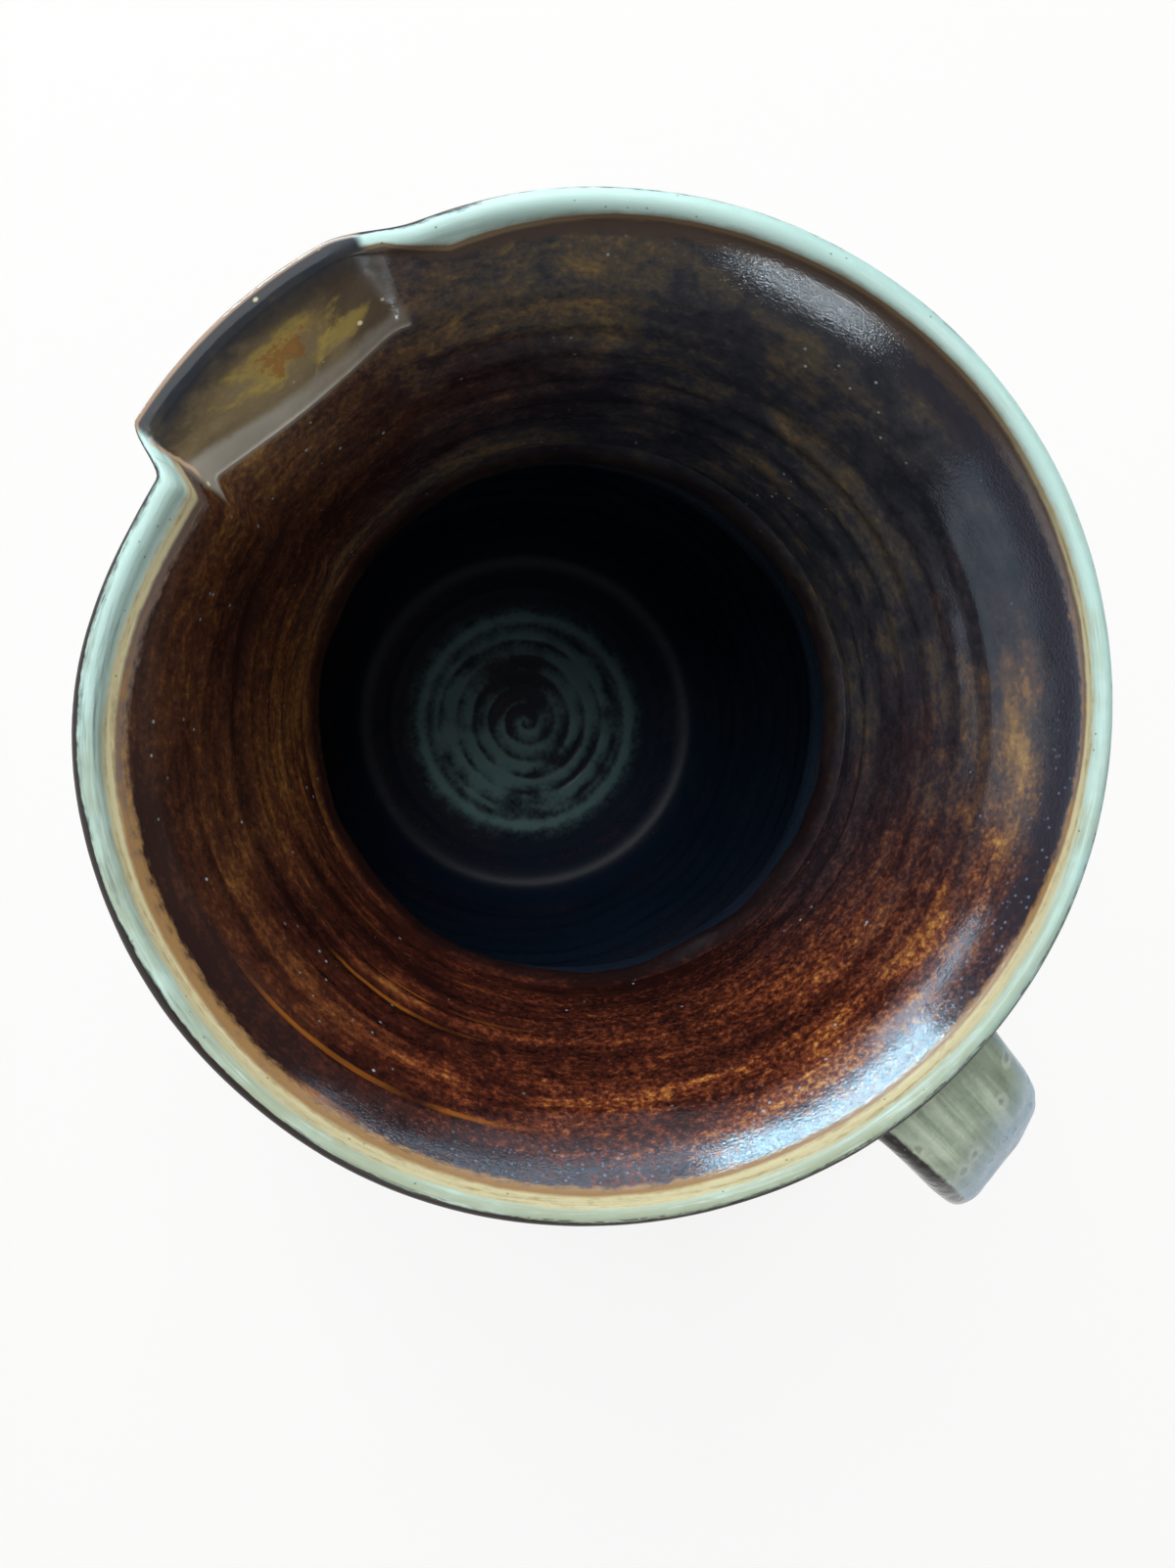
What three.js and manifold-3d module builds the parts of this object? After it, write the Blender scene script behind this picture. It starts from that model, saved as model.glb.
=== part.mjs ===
// Stoneware pitcher, built the way a potter builds it: a thrown belly, a thrown collar stepped onto the
// belly's tongue, a coil pressed over their seam, a pouring lip let into the rim, and a pulled strap
// handle between a lug under the rim and a wad on the belly.
// Millimetres, +Z up. The origin is the centre of the flat foot, the handle lies along +X and the lip
// along -X.

import * as THREE from "three";
import { mergeVertices } from "three/addons/utils/BufferGeometryUtils.js";
import Module from "manifold-3d";

// Wall: radii are to the outside, and the three heights are stacked from the foot to the rim. The swell
// and the fullness shape the curve from the foot to the widest belly.
const FOOT_RADIUS = 61;
const BELLY_RADIUS = 80;
const NECK_RADIUS = 56;
const RIM_RADIUS = 76;
const BELLY_HEIGHT = 84;
const SHOULDER_HEIGHT = 80;
const MOUTH_HEIGHT = 56;
const FLARE_ANGLE = 33;
const FOOT_SWELL = 0.55;
const BELLY_FULLNESS = 0.4;
const WALL = 6;
const FLOOR = 9;
const FLOOR_CORNER = 9;
const FOOT_BEVEL = 3;
const RIM_CROWN = 2.8;

// Joints: the luting gap between pieces, the tongue under the collar and the coil inside the seam.
const GAP = 0.3;
const TONGUE = 4;
const COIL_HEIGHT = 10;
const COIL_THICKNESS = 1.7;
const COIL_EDGE = 0.5;

// Pouring lip: a flat tongue let into the rim, with the rim pinched in beside both of its corners.
const LIP_WIDTH = 49;
const LIP_FOOT_WIDTH = 36;
const LIP_DEPTH = 10;
const LIP_REACH = 78.8;
const LIP_EDGE = 3.2;
const LIP_DROP = 1;
const LIP_CORNER_ANGLE = 4;
const PINCH_DEEP = 4;
const PINCH_SHALLOW = 1.2;
const PINCH_SPREAD_ANGLE = 12;
const PINCH_DEPTH = 24;

// Handle: a strap that leaves the collar below the rim and comes down on the belly.
const LUG_DROP = 17;
const WAD_RISE = 12;
const HANDLE_REACH = 110.5;
const HANDLE_LEAN = 3;
const HANDLE_SKEW = 8;
const HANDLE_ARCH = 21;
const HANDLE_DROOP = 26;
const STRAP_WIDTH = 26;
const STRAP_TAIL_WIDTH = 21;
const STRAP_THICKNESS = 9.5;
const STRAP_SQUARENESS = 3;
const ROOT_SPREAD = 8;
const ROOT_SWELL = 4;
const LUG_LENGTH = 11;
const WAD_LENGTH = 12;

// Facets: the collar's steps are part even, part crowded at the lip, and a cut curve's end keeps its room.
const TURN_STEPS = 48;
const COLLAR_STEPS = 96;
const WALL_STEPS = 8;
const RIM_STEPS = 5;
const CORNER_STEPS = 4;
const COIL_STEPS = 5;
const STRAP_STEPS = 30;
const STRAP_SIDES = 16;
const EVEN_SHARE = 0.45;
const POINT_ROOM = 1.5;

const NECK_HEIGHT = BELLY_HEIGHT + SHOULDER_HEIGHT;
const HEIGHT = NECK_HEIGHT + MOUTH_HEIGHT;
const RIM_EDGE = HEIGHT - RIM_CROWN;
const JOINT_HEIGHT = NECK_HEIGHT - TONGUE / 2;
const SEAM_HEIGHT = NECK_HEIGHT + TONGUE / 2;
const TONGUE_RADIUS = NECK_RADIUS - WALL / 2;

const radians = THREE.MathUtils.degToRad;
const { lerp, smoothstep, clamp } = THREE.MathUtils;
const vec2 = (radius, height) => new THREE.Vector2(radius, height);

const wasm = await Module();
wasm.setup();

// The outside of the wall from the foot to the rim, as three curves that stand upright where they meet
// at the widest belly and at the narrowest neck.
function wallOutside() {
  const foot = vec2(FOOT_RADIUS, FOOT_BEVEL);
  const belly = vec2(BELLY_RADIUS, BELLY_HEIGHT);
  const neck = vec2(NECK_RADIUS, NECK_HEIGHT);
  const rim = vec2(RIM_RADIUS, RIM_EDGE);
  const flare = radians(FLARE_ANGLE);
  const pull = MOUTH_HEIGHT / 3;
  const spans = [
    new THREE.CubicBezierCurve(
      foot,
      vec2(lerp(FOOT_RADIUS, BELLY_RADIUS, FOOT_SWELL), BELLY_HEIGHT / 3),
      vec2(BELLY_RADIUS, BELLY_HEIGHT * (1 - BELLY_FULLNESS)),
      belly
    ),
    new THREE.CubicBezierCurve(
      belly,
      vec2(BELLY_RADIUS, BELLY_HEIGHT + SHOULDER_HEIGHT / 2),
      vec2(NECK_RADIUS, NECK_HEIGHT - SHOULDER_HEIGHT / 2),
      neck
    ),
    new THREE.CubicBezierCurve(
      neck,
      vec2(NECK_RADIUS, NECK_HEIGHT + pull),
      vec2(RIM_RADIUS - pull * Math.sin(flare), RIM_EDGE - pull * Math.cos(flare)),
      rim
    ),
  ];
  return spans.flatMap((span, i) => span.getPoints(WALL_STEPS).slice(i ? 1 : 0));
}

// The same curve moved square to itself, towards the axis where distance is positive.
function offset(points, distance) {
  return points.map((point, i) => {
    const before = points[Math.max(i - 1, 0)];
    const after = points[Math.min(i + 1, points.length - 1)];
    const along = after.clone().sub(before).normalize();
    return vec2(point.x - along.y * distance, point.y + along.x * distance);
  });
}

function pointAt(points, height) {
  const above = points.slice(1, -1).findIndex((point) => point.y > height);
  const [low, high] = above < 0 ? points.slice(-2) : points.slice(above, above + 2);
  return vec2(lerp(low.x, high.x, (height - low.y) / (high.y - low.y)), height);
}

// The stretch of a rising curve between two heights, without the points that crowd its ends.
function between(points, low, high) {
  const middle = points.filter((point) => point.y > low + POINT_ROOM && point.y < high - POINT_ROOM);
  return [pointAt(points, low), ...middle, pointAt(points, high)];
}

const OUTSIDE = wallOutside();
const INSIDE = offset(OUTSIDE, WALL);

// Solids of revolution about +Z from an outline that rises on its outer side.
function turned(outline) {
  return new THREE.LatheGeometry(outline, TURN_STEPS).rotateX(Math.PI / 2);
}

function bellyGeometry() {
  const cornerTop = pointAt(INSIDE, FLOOR + FLOOR_CORNER);
  const cornerRadius = pointAt(INSIDE, FLOOR).x;
  const corner = new THREE.QuadraticBezierCurve(
    cornerTop,
    vec2(cornerRadius, FLOOR),
    vec2(cornerRadius - FLOOR_CORNER, FLOOR)
  );
  const tongueInside = NECK_RADIUS - WALL;
  return turned([
    vec2(0, 0),
    vec2(FOOT_RADIUS - FOOT_BEVEL, 0),
    ...between(OUTSIDE, FOOT_BEVEL, JOINT_HEIGHT),
    vec2(TONGUE_RADIUS, JOINT_HEIGHT),
    vec2(TONGUE_RADIUS, SEAM_HEIGHT),
    vec2(tongueInside, SEAM_HEIGHT),
    ...between(INSIDE, FLOOR + FLOOR_CORNER, NECK_HEIGHT).reverse().slice(0, -1),
    ...corner.getPoints(CORNER_STEPS),
    vec2(0, FLOOR),
  ]);
}

// A crescent ring pressed over the seam, its back following the wall at the luting gap.
function coilGeometry() {
  const back = [];
  const face = [];
  for (let i = 0; i <= COIL_STEPS; i += 1) {
    const across = (2 * i) / COIL_STEPS - 1;
    const height = SEAM_HEIGHT + (across * COIL_HEIGHT) / 2;
    const wall = Math.min(pointAt(INSIDE, height).x, pointAt(INSIDE, SEAM_HEIGHT).x);
    const swell = Math.cos((across * Math.PI) / 2);
    back.push(vec2(wall - GAP, height));
    face.push(vec2(wall - GAP - lerp(COIL_EDGE, COIL_THICKNESS, swell), height));
  }
  return turned([...back, ...face.reverse(), back[0]]);
}

// How far the rim at an angle from the lip's middle belongs to the lip: 1 on it, 0 beyond its corners.
const lipHalfAngle = Math.asin(LIP_WIDTH / 2 / RIM_RADIUS);

function lipShare(angle) {
  const corner = radians(LIP_CORNER_ANGLE);
  return 1 - smoothstep(Math.abs(angle), lipHalfAngle - corner, lipHalfAngle + corner);
}

function pinch(angle) {
  const depth = angle > 0 ? PINCH_DEEP : PINCH_SHALLOW;
  const beyond = Math.max(Math.abs(angle) - lipHalfAngle, 0) / radians(PINCH_SPREAD_ANGLE);
  return depth * Math.exp(-beyond * beyond);
}

// The collar's closed outline at an angle from the lip's middle: up the outside, over the rounded rim,
// down the inside and back along the step that sits on the tongue.
function collarOutline(angle) {
  const share = lipShare(angle);
  const chord = pointAt(OUTSIDE, RIM_EDGE).x - pointAt(INSIDE, RIM_EDGE).x;
  const push = share * (LIP_REACH - RIM_RADIUS);
  const thinning = share * (chord - LIP_EDGE);
  const shaped = (point, thin) => {
    const lift = clamp((point.y - (HEIGHT - LIP_DEPTH)) / (RIM_EDGE - HEIGHT + LIP_DEPTH), 0, 1);
    const pinched = (1 - share) * pinch(angle) * smoothstep(point.y, HEIGHT - PINCH_DEPTH, RIM_EDGE);
    return vec2(point.x + lift * (push + thin) - pinched, point.y - lift * share * LIP_DROP);
  };
  const outer = between(OUTSIDE, JOINT_HEIGHT + GAP, RIM_EDGE).map((point) => shaped(point, 0));
  const inner = between(INSIDE, SEAM_HEIGHT + GAP, RIM_EDGE).map((point) => shaped(point, thinning));
  const [from, to] = [outer.at(-1), inner.at(-1)];
  const crown = (RIM_CROWN * (from.x - to.x)) / chord;
  const rim = [];
  for (let i = 1; i < RIM_STEPS; i += 1) {
    const turn = (Math.PI * i) / RIM_STEPS;
    rim.push(vec2(lerp(to.x, from.x, (1 + Math.cos(turn)) / 2), from.y + crown * Math.sin(turn)));
  }
  const seat = TONGUE_RADIUS + GAP;
  const step = [vec2(seat, SEAM_HEIGHT + GAP), vec2(seat, JOINT_HEIGHT + GAP)];
  return [...outer, ...rim, ...inner.reverse(), ...step];
}

// A ring swept about +Z whose outline changes with the angle, with its steps closest at the lip.
function collarGeometry() {
  const vertices = [];
  const triangles = [];
  let count = 0;
  for (let i = 0; i < COLLAR_STEPS; i += 1) {
    const turn = (2 * i) / COLLAR_STEPS - 1;
    const angle = Math.PI * lerp(turn ** 3, turn, EVEN_SHARE);
    const outline = collarOutline(angle);
    count = outline.length;
    for (const point of outline) {
      vertices.push(-point.x * Math.cos(angle), -point.x * Math.sin(angle), point.y);
    }
    const next = (i + 1) % COLLAR_STEPS;
    for (let j = 0; j < count; j += 1) {
      const above = (j + 1) % count;
      const [a, b] = [i * count + j, next * count + j];
      const [c, d] = [next * count + above, i * count + above];
      triangles.push(a, b, c, a, c, d);
    }
  }
  return indexed(vertices, triangles);
}

function indexed(vertices, triangles) {
  const geometry = new THREE.BufferGeometry();
  geometry.setAttribute("position", new THREE.Float32BufferAttribute(vertices, 3));
  geometry.setIndex(triangles);
  return geometry;
}

// The block that the lip is let into: a tapered prism from the axis out past the lip's reach, drawn in
// by the luting gap for the lip itself.
function lipBlock(inset) {
  const top = HEIGHT + RIM_CROWN;
  const low = HEIGHT - LIP_DEPTH + inset;
  const half = LIP_WIDTH / 2 - inset;
  const halfLow = LIP_FOOT_WIDTH / 2 - inset;
  const outline = new THREE.Shape([
    vec2(-halfLow, low),
    vec2(halfLow, low),
    vec2(half, top),
    vec2(-half, top),
  ]);
  const depth = Math.max(LIP_REACH, RIM_RADIUS) + WALL;
  const block = new THREE.ExtrudeGeometry(outline, { depth, bevelEnabled: false });
  return block.rotateX(Math.PI / 2).rotateZ(-Math.PI / 2);
}

// The handle's centre line, in the plane of the axis, from inside the collar's wall to inside the
// belly's. Its middle lies at the reach.
function handleLine() {
  const lug = pointAt(OUTSIDE, HEIGHT - LUG_DROP).sub(vec2(WALL / 2, 0));
  const wad = pointAt(OUTSIDE, BELLY_HEIGHT + WAD_RISE).sub(vec2(WALL / 2, 0));
  const outward = (8 * HANDLE_REACH - lug.x - wad.x) / 6;
  return new THREE.CubicBezierCurve(
    lug,
    vec2(outward - HANDLE_SKEW, lug.y + HANDLE_ARCH),
    vec2(outward + HANDLE_SKEW, wad.y + HANDLE_DROOP),
    wad
  );
}

const HANDLE_LINE = handleLine();
const HANDLE_LENGTH = HANDLE_LINE.getLength();

// The strap between two distances along the centre line. Its section is a rounded oblong that narrows
// towards the tail, spreads at both roots and leans a little to one side in between.
function strapGeometry(from, to) {
  const steps = Math.max(4, Math.round((STRAP_STEPS * (to - from)) / HANDLE_LENGTH));
  const rounded = (value) => Math.sign(value) * Math.abs(value) ** (2 / STRAP_SQUARENESS);
  const vertices = [];
  const triangles = [];
  for (let i = 0; i <= steps; i += 1) {
    const distance = lerp(from, to, i / steps);
    const centre = HANDLE_LINE.getPointAt(distance / HANDLE_LENGTH);
    const along = HANDLE_LINE.getTangentAt(distance / HANDLE_LENGTH);
    const rootDistance = Math.min(distance / LUG_LENGTH, (HANDLE_LENGTH - distance) / WAD_LENGTH);
    const root = Math.exp(-rootDistance * rootDistance);
    const width = lerp(STRAP_WIDTH, STRAP_TAIL_WIDTH, distance / HANDLE_LENGTH) + root * ROOT_SPREAD;
    const thickness = STRAP_THICKNESS + root * ROOT_SWELL;
    const lean = HANDLE_LEAN * Math.sin((Math.PI * distance) / HANDLE_LENGTH);
    for (let k = 0; k < STRAP_SIDES; k += 1) {
      const turn = (2 * Math.PI * k) / STRAP_SIDES;
      const side = lean + (width / 2) * rounded(Math.cos(turn));
      const out = (thickness / 2) * rounded(Math.sin(turn));
      vertices.push(centre.x - along.y * out, side, centre.y + along.x * out);
      const across = (k + 1) % STRAP_SIDES;
      const [a, b] = [i * STRAP_SIDES + k, i * STRAP_SIDES + across];
      if (i < steps) {
        triangles.push(a, b, b + STRAP_SIDES, a, b + STRAP_SIDES, a + STRAP_SIDES);
      }
    }
  }
  const last = steps * STRAP_SIDES;
  for (let k = 1; k < STRAP_SIDES - 1; k += 1) {
    triangles.push(0, k + 1, k, last, last + k, last + k + 1);
  }
  return indexed(vertices, triangles);
}

// The whole pot without its hollow, grown by the luting gap, to cut what is pressed onto the wall.
function wallEnvelope() {
  const grown = offset(OUTSIDE, -GAP);
  return turned([vec2(0, grown[0].y), ...grown, vec2(0, grown.at(-1).y)]);
}

function solid(geometry) {
  const bare = geometry.clone();
  bare.deleteAttribute("normal");
  bare.deleteAttribute("uv");
  const merged = mergeVertices(bare);
  const vertProperties = new Float32Array(merged.attributes.position.array);
  const triVerts = new Uint32Array(merged.index.array);
  return new wasm.Manifold(new wasm.Mesh({ numProp: 3, vertProperties, triVerts }));
}

function geometryOf(body) {
  const { vertProperties, triVerts } = body.getMesh();
  return indexed(Array.from(vertProperties), Array.from(triVerts));
}

const pitcher = new THREE.Group();

function addPiece(name, geometry, color, roughness) {
  const shaded = geometry.toNonIndexed();
  shaded.computeVertexNormals();
  const material = new THREE.MeshStandardMaterial({ color, roughness, metalness: 0 });
  const mesh = new THREE.Mesh(shaded, material);
  mesh.name = name;
  pitcher.add(mesh);
}

const BROWN_GLAZE = 0x4a220f;
const LIP_GLAZE = 0x5c4322;
const DARK_GLAZE = 0x1d120d;
const OLIVE_GLAZE = 0x767a66;
const SATIN = 0.35;
const GLOSSY = 0.2;

const ring = solid(collarGeometry());
const wall = solid(wallEnvelope());
const strapEnd = HANDLE_LENGTH - WAD_LENGTH;
const lug = solid(strapGeometry(0, LUG_LENGTH)).subtract(wall);
const wad = solid(strapGeometry(strapEnd, HANDLE_LENGTH)).subtract(wall);

addPiece("belly", bellyGeometry(), OLIVE_GLAZE, SATIN);
addPiece("collar", geometryOf(ring.subtract(solid(lipBlock(0)))), BROWN_GLAZE, GLOSSY);
addPiece("seam_coil", coilGeometry(), DARK_GLAZE, GLOSSY);
addPiece("pouring_lip", geometryOf(ring.intersect(solid(lipBlock(GAP)))), LIP_GLAZE, GLOSSY);
addPiece("handle_lug", geometryOf(lug), OLIVE_GLAZE, SATIN);
addPiece("handle_strap", strapGeometry(LUG_LENGTH + GAP, strapEnd - GAP), OLIVE_GLAZE, SATIN);
addPiece("handle_wad", geometryOf(wad), OLIVE_GLAZE, SATIN);

export default pitcher;
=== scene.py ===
"""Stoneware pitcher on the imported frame: glazed surfaces, pale floor, studio light and camera."""

from math import cos, pi, radians, sin, sqrt

import bpy
import numpy as np
from mathutils import Matrix, Vector


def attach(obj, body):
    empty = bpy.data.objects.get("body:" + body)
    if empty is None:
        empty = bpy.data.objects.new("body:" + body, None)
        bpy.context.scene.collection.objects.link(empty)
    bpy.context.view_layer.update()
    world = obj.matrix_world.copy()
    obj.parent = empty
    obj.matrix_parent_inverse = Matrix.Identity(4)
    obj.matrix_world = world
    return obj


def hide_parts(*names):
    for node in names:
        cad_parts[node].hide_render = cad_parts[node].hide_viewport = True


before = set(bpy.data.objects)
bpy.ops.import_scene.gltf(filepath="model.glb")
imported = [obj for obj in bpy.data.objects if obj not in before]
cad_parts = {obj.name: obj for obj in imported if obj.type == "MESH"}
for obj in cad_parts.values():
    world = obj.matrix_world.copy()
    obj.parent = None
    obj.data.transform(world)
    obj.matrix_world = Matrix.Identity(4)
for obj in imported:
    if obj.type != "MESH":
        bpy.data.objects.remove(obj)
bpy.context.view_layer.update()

# Sizes in millimetres, as in the frame.
MM = 0.001
FOOT_RADIUS, BELLY_RADIUS, NECK_RADIUS, RIM_RADIUS = 61, 80, 56, 76
BELLY_HEIGHT, SHOULDER_HEIGHT, MOUTH_HEIGHT = 84, 80, 56
FLARE_ANGLE, FOOT_SWELL, BELLY_FULLNESS = 33, 0.55, 0.4
WALL, FLOOR, FLOOR_CORNER, FOOT_BEVEL, RIM_CROWN = 6, 9, 9, 3, 2.8
GAP, TONGUE, COIL_HEIGHT, COIL_THICKNESS, COIL_BACK = 0.3, 4, 10, 1.7, 0.6
LIP_DEPTH, LIP_CREASE, LIP_REACH, LIP_EDGE, LIP_DROP = 10, 64, 78.8, 3.2, 1
THIN_DEPTH, RIM_THINNING, PINCH_DEPTH = 16, 3.1, 24
LUG_DROP, WAD_RISE, HANDLE_REACH, HANDLE_LEAN = 17, 12, 110.5, 3
HANDLE_SKEW, HANDLE_ARCH, HANDLE_DROOP = 8, 21, 26
STRAP_WIDTH, STRAP_TAIL_WIDTH, STRAP_THICKNESS, STRAP_SQUARENESS = 26, 21, 9.5, 3
ROOT_SPREAD, ROOT_SWELL, LUG_LENGTH, WAD_LENGTH = 8, 4, 11, 12
NECK_HEIGHT = BELLY_HEIGHT + SHOULDER_HEIGHT
HEIGHT = NECK_HEIGHT + MOUTH_HEIGHT
RIM_EDGE = HEIGHT - RIM_CROWN
JOINT_HEIGHT = NECK_HEIGHT - TONGUE / 2
SEAM_HEIGHT = NECK_HEIGHT + TONGUE / 2
CREASE_HEIGHT = HEIGHT - LIP_DEPTH

# The lip's half angle and its corner's rounding in degrees, the depth of the pinch beside it and the
# pinch's spread in degrees, each for its deeply pinched side and for its other side.
LIP_ANGLES, LIP_CORNERS, PINCHES, PINCH_SPREADS = (19.0, 14.5), (2.3, 5), (4.0, 0.4), (22, 12)
LIP_NEIGHBOURHOOD = 40

# How far in a point seems to move, for an eye above, per millimetre below the rim.
EYE_SLANT = 0.43

# Relief left by the potter's fingers, in millimetres.
INSIDE_PITCH, INSIDE_RELIEF = 5.2, 0.20
OUTSIDE_PITCH, OUTSIDE_RELIEF = 7.4, 0.26
BELLY_PITCH, BELLY_RELIEF = INSIDE_PITCH * 1.5, INSIDE_RELIEF * 1.1
FLOOR_PITCH, FLOOR_RELIEF, FLOOR_DIP_RADIUS, BUTTON_RADIUS = 5.4, 0.10, 13, 2.2
FLOOR_RING_RADIUS, FLOOR_RING_WIDTH, FLOOR_EDGE_RADIUS, FLOOR_EDGE_WIDTH = 33.4, 1.6, 43, 1.2
LUMP_SIZE, LUMP_RELIEF = 34, 0.35
DIMPLE_SIZE, DIMPLE_RELIEF = 5, 0.05
COIL_LUMPS, COIL_FEATHER = ((0.25, 14, 31), (0.08, 4, 32)), 0.25
LIP_DISH, LIP_FOLD, LIP_FOLD_ANGLE, LIP_FLATNESS = 0.4, 0.55, 1.6, 0.8
STRAP_RIB, STRAP_WAVER, STRAP_DIMPLE, STRAP_TWIST = 0.10, 0.30, 0.12, 13
RIM_OVAL, RIM_OVAL_SIDE, RIM_OVAL_START = 0.64, 63, 6

# How far the throwing rings wander, how much they fade in places and how much they lean.
RING_WANDER, RING_FADE, RING_LEAN = 0.9, 0.35, 0.5

# Distances over which relief grows or ends, from the rim's crest and, last, from joint and foot.
INNER_RINGS, OUTER_RINGS, RIM_CALM = (12, 22), (5, 12), (9, 26)
LIP_FACE, FOLD_START, FOLD_END = (2, 5), (0, 4), (12, 18)
JOINT_CALM, FOOT_RINGS = (0, 20), (4, 14)

# Distances from the rim's crest of the belly's ends and of the seam, for the glaze.
BELLY_CREST, COIL_CREST = 60, 50

# The strap's half width and half thickness, for its unevenness and its glaze.
STRIP_WIDTH, STRIP_THICKNESS = 13.0, 5.0

# Mesh steps.
COLLAR_COLUMNS, LIP_COLUMNS, BELLY_COLUMNS, COIL_COLUMNS = 380, 90, 216, 240
FOOT_ROWS, BEVEL_ROWS, WALL_ROWS, CORNER_ROWS, FLOOR_ROWS, COIL_ROWS = 30, 8, 150, 14, 96, 22
STRAP_SIDES, STRAP_STEP, HANDLE_STEPS = 72, 0.8, 400
SOFT_ROUNDS, LIP_SOFT_ROUNDS, SOFTNESS = 14, 4, 0.25
SHARP_ANGLE = 55

# Glaze colours, with painted sheens, glints, reflections and shade, from the rim inwards and then down
# the outside.
CELADON, CELADON_GREY, CELADON_PALE, CREAM = "#bfe0da", "#9fab94", "#d8f1ed", "#d2caa2"
# Painted reflections: the navy near the rim, and part of the bevel's mauve.
CREAM_DEEP, SMEAR_GREY, BEVEL_MAUVE_AND_SHEEN, NAVY_REFLECTION = "#a99a72", "#5f6c68", "#75655e", "#2b2933"
BEVEL_BROWN, CELADON_SHADE = "#4b3e37", "#8cafad"
OCHRE_EDGE, OCHRE_BROWN, IRON_LINE = "#96744a", "#7a6750", "#2a1f1a"
WARM_LINER = ("#210f0d", "#3f1d15", "#6d3722", "#a26731", "#c79b53")
AMBER_LINER = ("#2e1c16", "#472b1c", "#654223", "#845c2b", "#9e7b40")
# The cool ramp is partly a painted bluish sheen.
COOL_LINER_AND_SHEEN = ("#23262e", "#34353b", "#51493f", "#735e42", "#8f744c")
# Painted glints: pale blue in the liner's pinholes and blue specks on the side facing the window.
AMBER, PINHOLE_GLINT_BLUE, GLINT_BLUE = "#a8651f", "#9fb0b8", "#7d93ad"
# The lip's grey is a painted sky reflection.
LIP_BROWN, LIP_OLIVE, LIP_GREY_SHEEN, LIP_OCHRE = "#524533", "#6d6048", "#8f8b82", "#a18c46"
# The lip's pale outline is partly a painted highlight on its thin edge.
LIP_RED, LIP_SHADE, LIP_NAVY, LIP_OUTLINE = "#693419", "#40342a", "#1e2731", "#b99a80"
# Painted shade on the coil and in the belly, and a painted green reflection on the floor.
COIL_SHADE, FLOOR_GREEN_REFLECTION, BELLY_SHADE_NAVY = "#150c0d", "#84abac", "#11263a"
OLIVE, OLIVE_PALE, OLIVE_DEEP, IRON_BREAK = "#6b6f5b", "#9ba18a", "#4d5042", "#4a2d1a"
# Painted on the strap: a blue-grey reflection, and shade on its dark edge.
STRAP_GREENS, STRAP_IRON_AND_SHADE, BLUE_GREY_REFLECTION = ("#687360", "#8b9986", "#b9c6b2"), "#1a1310", "#80a4be"
CRATER_PALE, CRATER_DARK = "#b3bca6", "#5f5348"
CLAY, CLAY_DARK = "#8d6446", "#5f3d28"
PALE_FLOOR = "#e9e9e6"

# Where the colours of the liner and of the satin glazes lie on their ramps.
LINER_STOPS, SATIN_STOPS = (0.13, 0.39, 0.60, 0.78, 0.97), (0.1, 0.45, 0.8)

# Strength of each glaze's reflections, and the index of refraction.
COLLAR_GLOSS, BELLY_GLOSS, COIL_GLOSS, STRAP_GLOSS, GLAZE_IOR = 0.15, 0.10, 0.05, 0.5, 1.52

# Depths of the glaze's skin, grain and craters, in millimetres.
PEEL_DEPTH, GRAIN_DEPTH, CRATER_DEPTH = 0.0055, 0.003, 0.04

# Directions from the axis, in degrees from the handle: where the liner is warm, amber, cool and dim,
# where it faces the window, where the rim is navy, and the photo's left and lower sides.
# The warm side's brightening is partly painted light, the cool side's colour partly a painted bluish
# sheen, the dim side's darkening painted shade, and the navy side's rim colour a painted navy
# reflection.
WARM_SIDE, AMBER_SIDE, COOL_SIDE, DIM_SIDE = 345, 195, 100, 270
GLARE_SIDE, NAVY_SIDE, LEFT_SIDE, LOWER_SIDE = 350, 65, 228, 318

# Radii of the liner, the rim and the floor at which a direction counts fully.
LINER_REACH, RIM_REACH, FLOOR_REACH = 65, 72, 36

# Amber clouds on the liner: degrees from the handle, radius and depth below the rim, and their reach.
OCHRE_PATCHES = ((56, 63.5, 13), (44, 63, 13.5), (30, 62.5, 14), (14, 61.5, 16), (354, 61, 18))
OCHRE_PATCH_SIZE = (9, 9, 4)

# Bands of the rim's glaze: in the given directions, how far in from the outer edge the celadon, the
# cream, the ochre and the liner begin, in millimetres as seen from above.
BAND_SIDES = (3, 48, 93, 138, 158, 165, 200, 208, 243, 273, 318)
BAND_STARTS = (
    (0.3, -0.3, -0.2, 0.0, 0.2, 0.3, 0.2, 0.2, 0.7, 1.0, 0.5),
    (3.3, 3.4, 3.3, 3.6, 4.8, 2.0, 5.2, 5.0, 4.0, 3.1, 2.7),
    (4.9, 4.2, 3.9, 4.2, 5.6, 2.6, 6.6, 6.6, 5.6, 5.0, 4.6),
    (6.0, 4.9, 6.8, 6.9, 7.0, 3.2, 8.6, 8.2, 8.0, 7.2, 5.9),
)


def linear(code):
    channels = [int(code[i:i + 2], 16) / 255 for i in (1, 3, 5)]
    return [c / 12.92 if c <= 0.04045 else ((c + 0.055) / 1.055) ** 2.4 for c in channels] + [1.0]


def smoothstep(value, low, high):
    t = np.clip((value - low) / (high - low), 0, 1)
    return t * t * (3 - 2 * t)


def lumps(points, size, seed, waves=28):
    """Smooth unevenness of about -1 to 1, with features of the given size."""
    rng = np.random.default_rng(seed)
    directions = rng.normal(size=(waves, 3))
    directions /= np.linalg.norm(directions, axis=1)[:, None]
    steps = 2 * pi / size * rng.uniform(0.5, 1.3, waves)
    phases = rng.uniform(0, 2 * pi, waves)
    total = sum(np.sin(points @ (d * k) + p) for d, k, p in zip(directions, steps, phases))
    return total / sqrt(waves)


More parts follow.
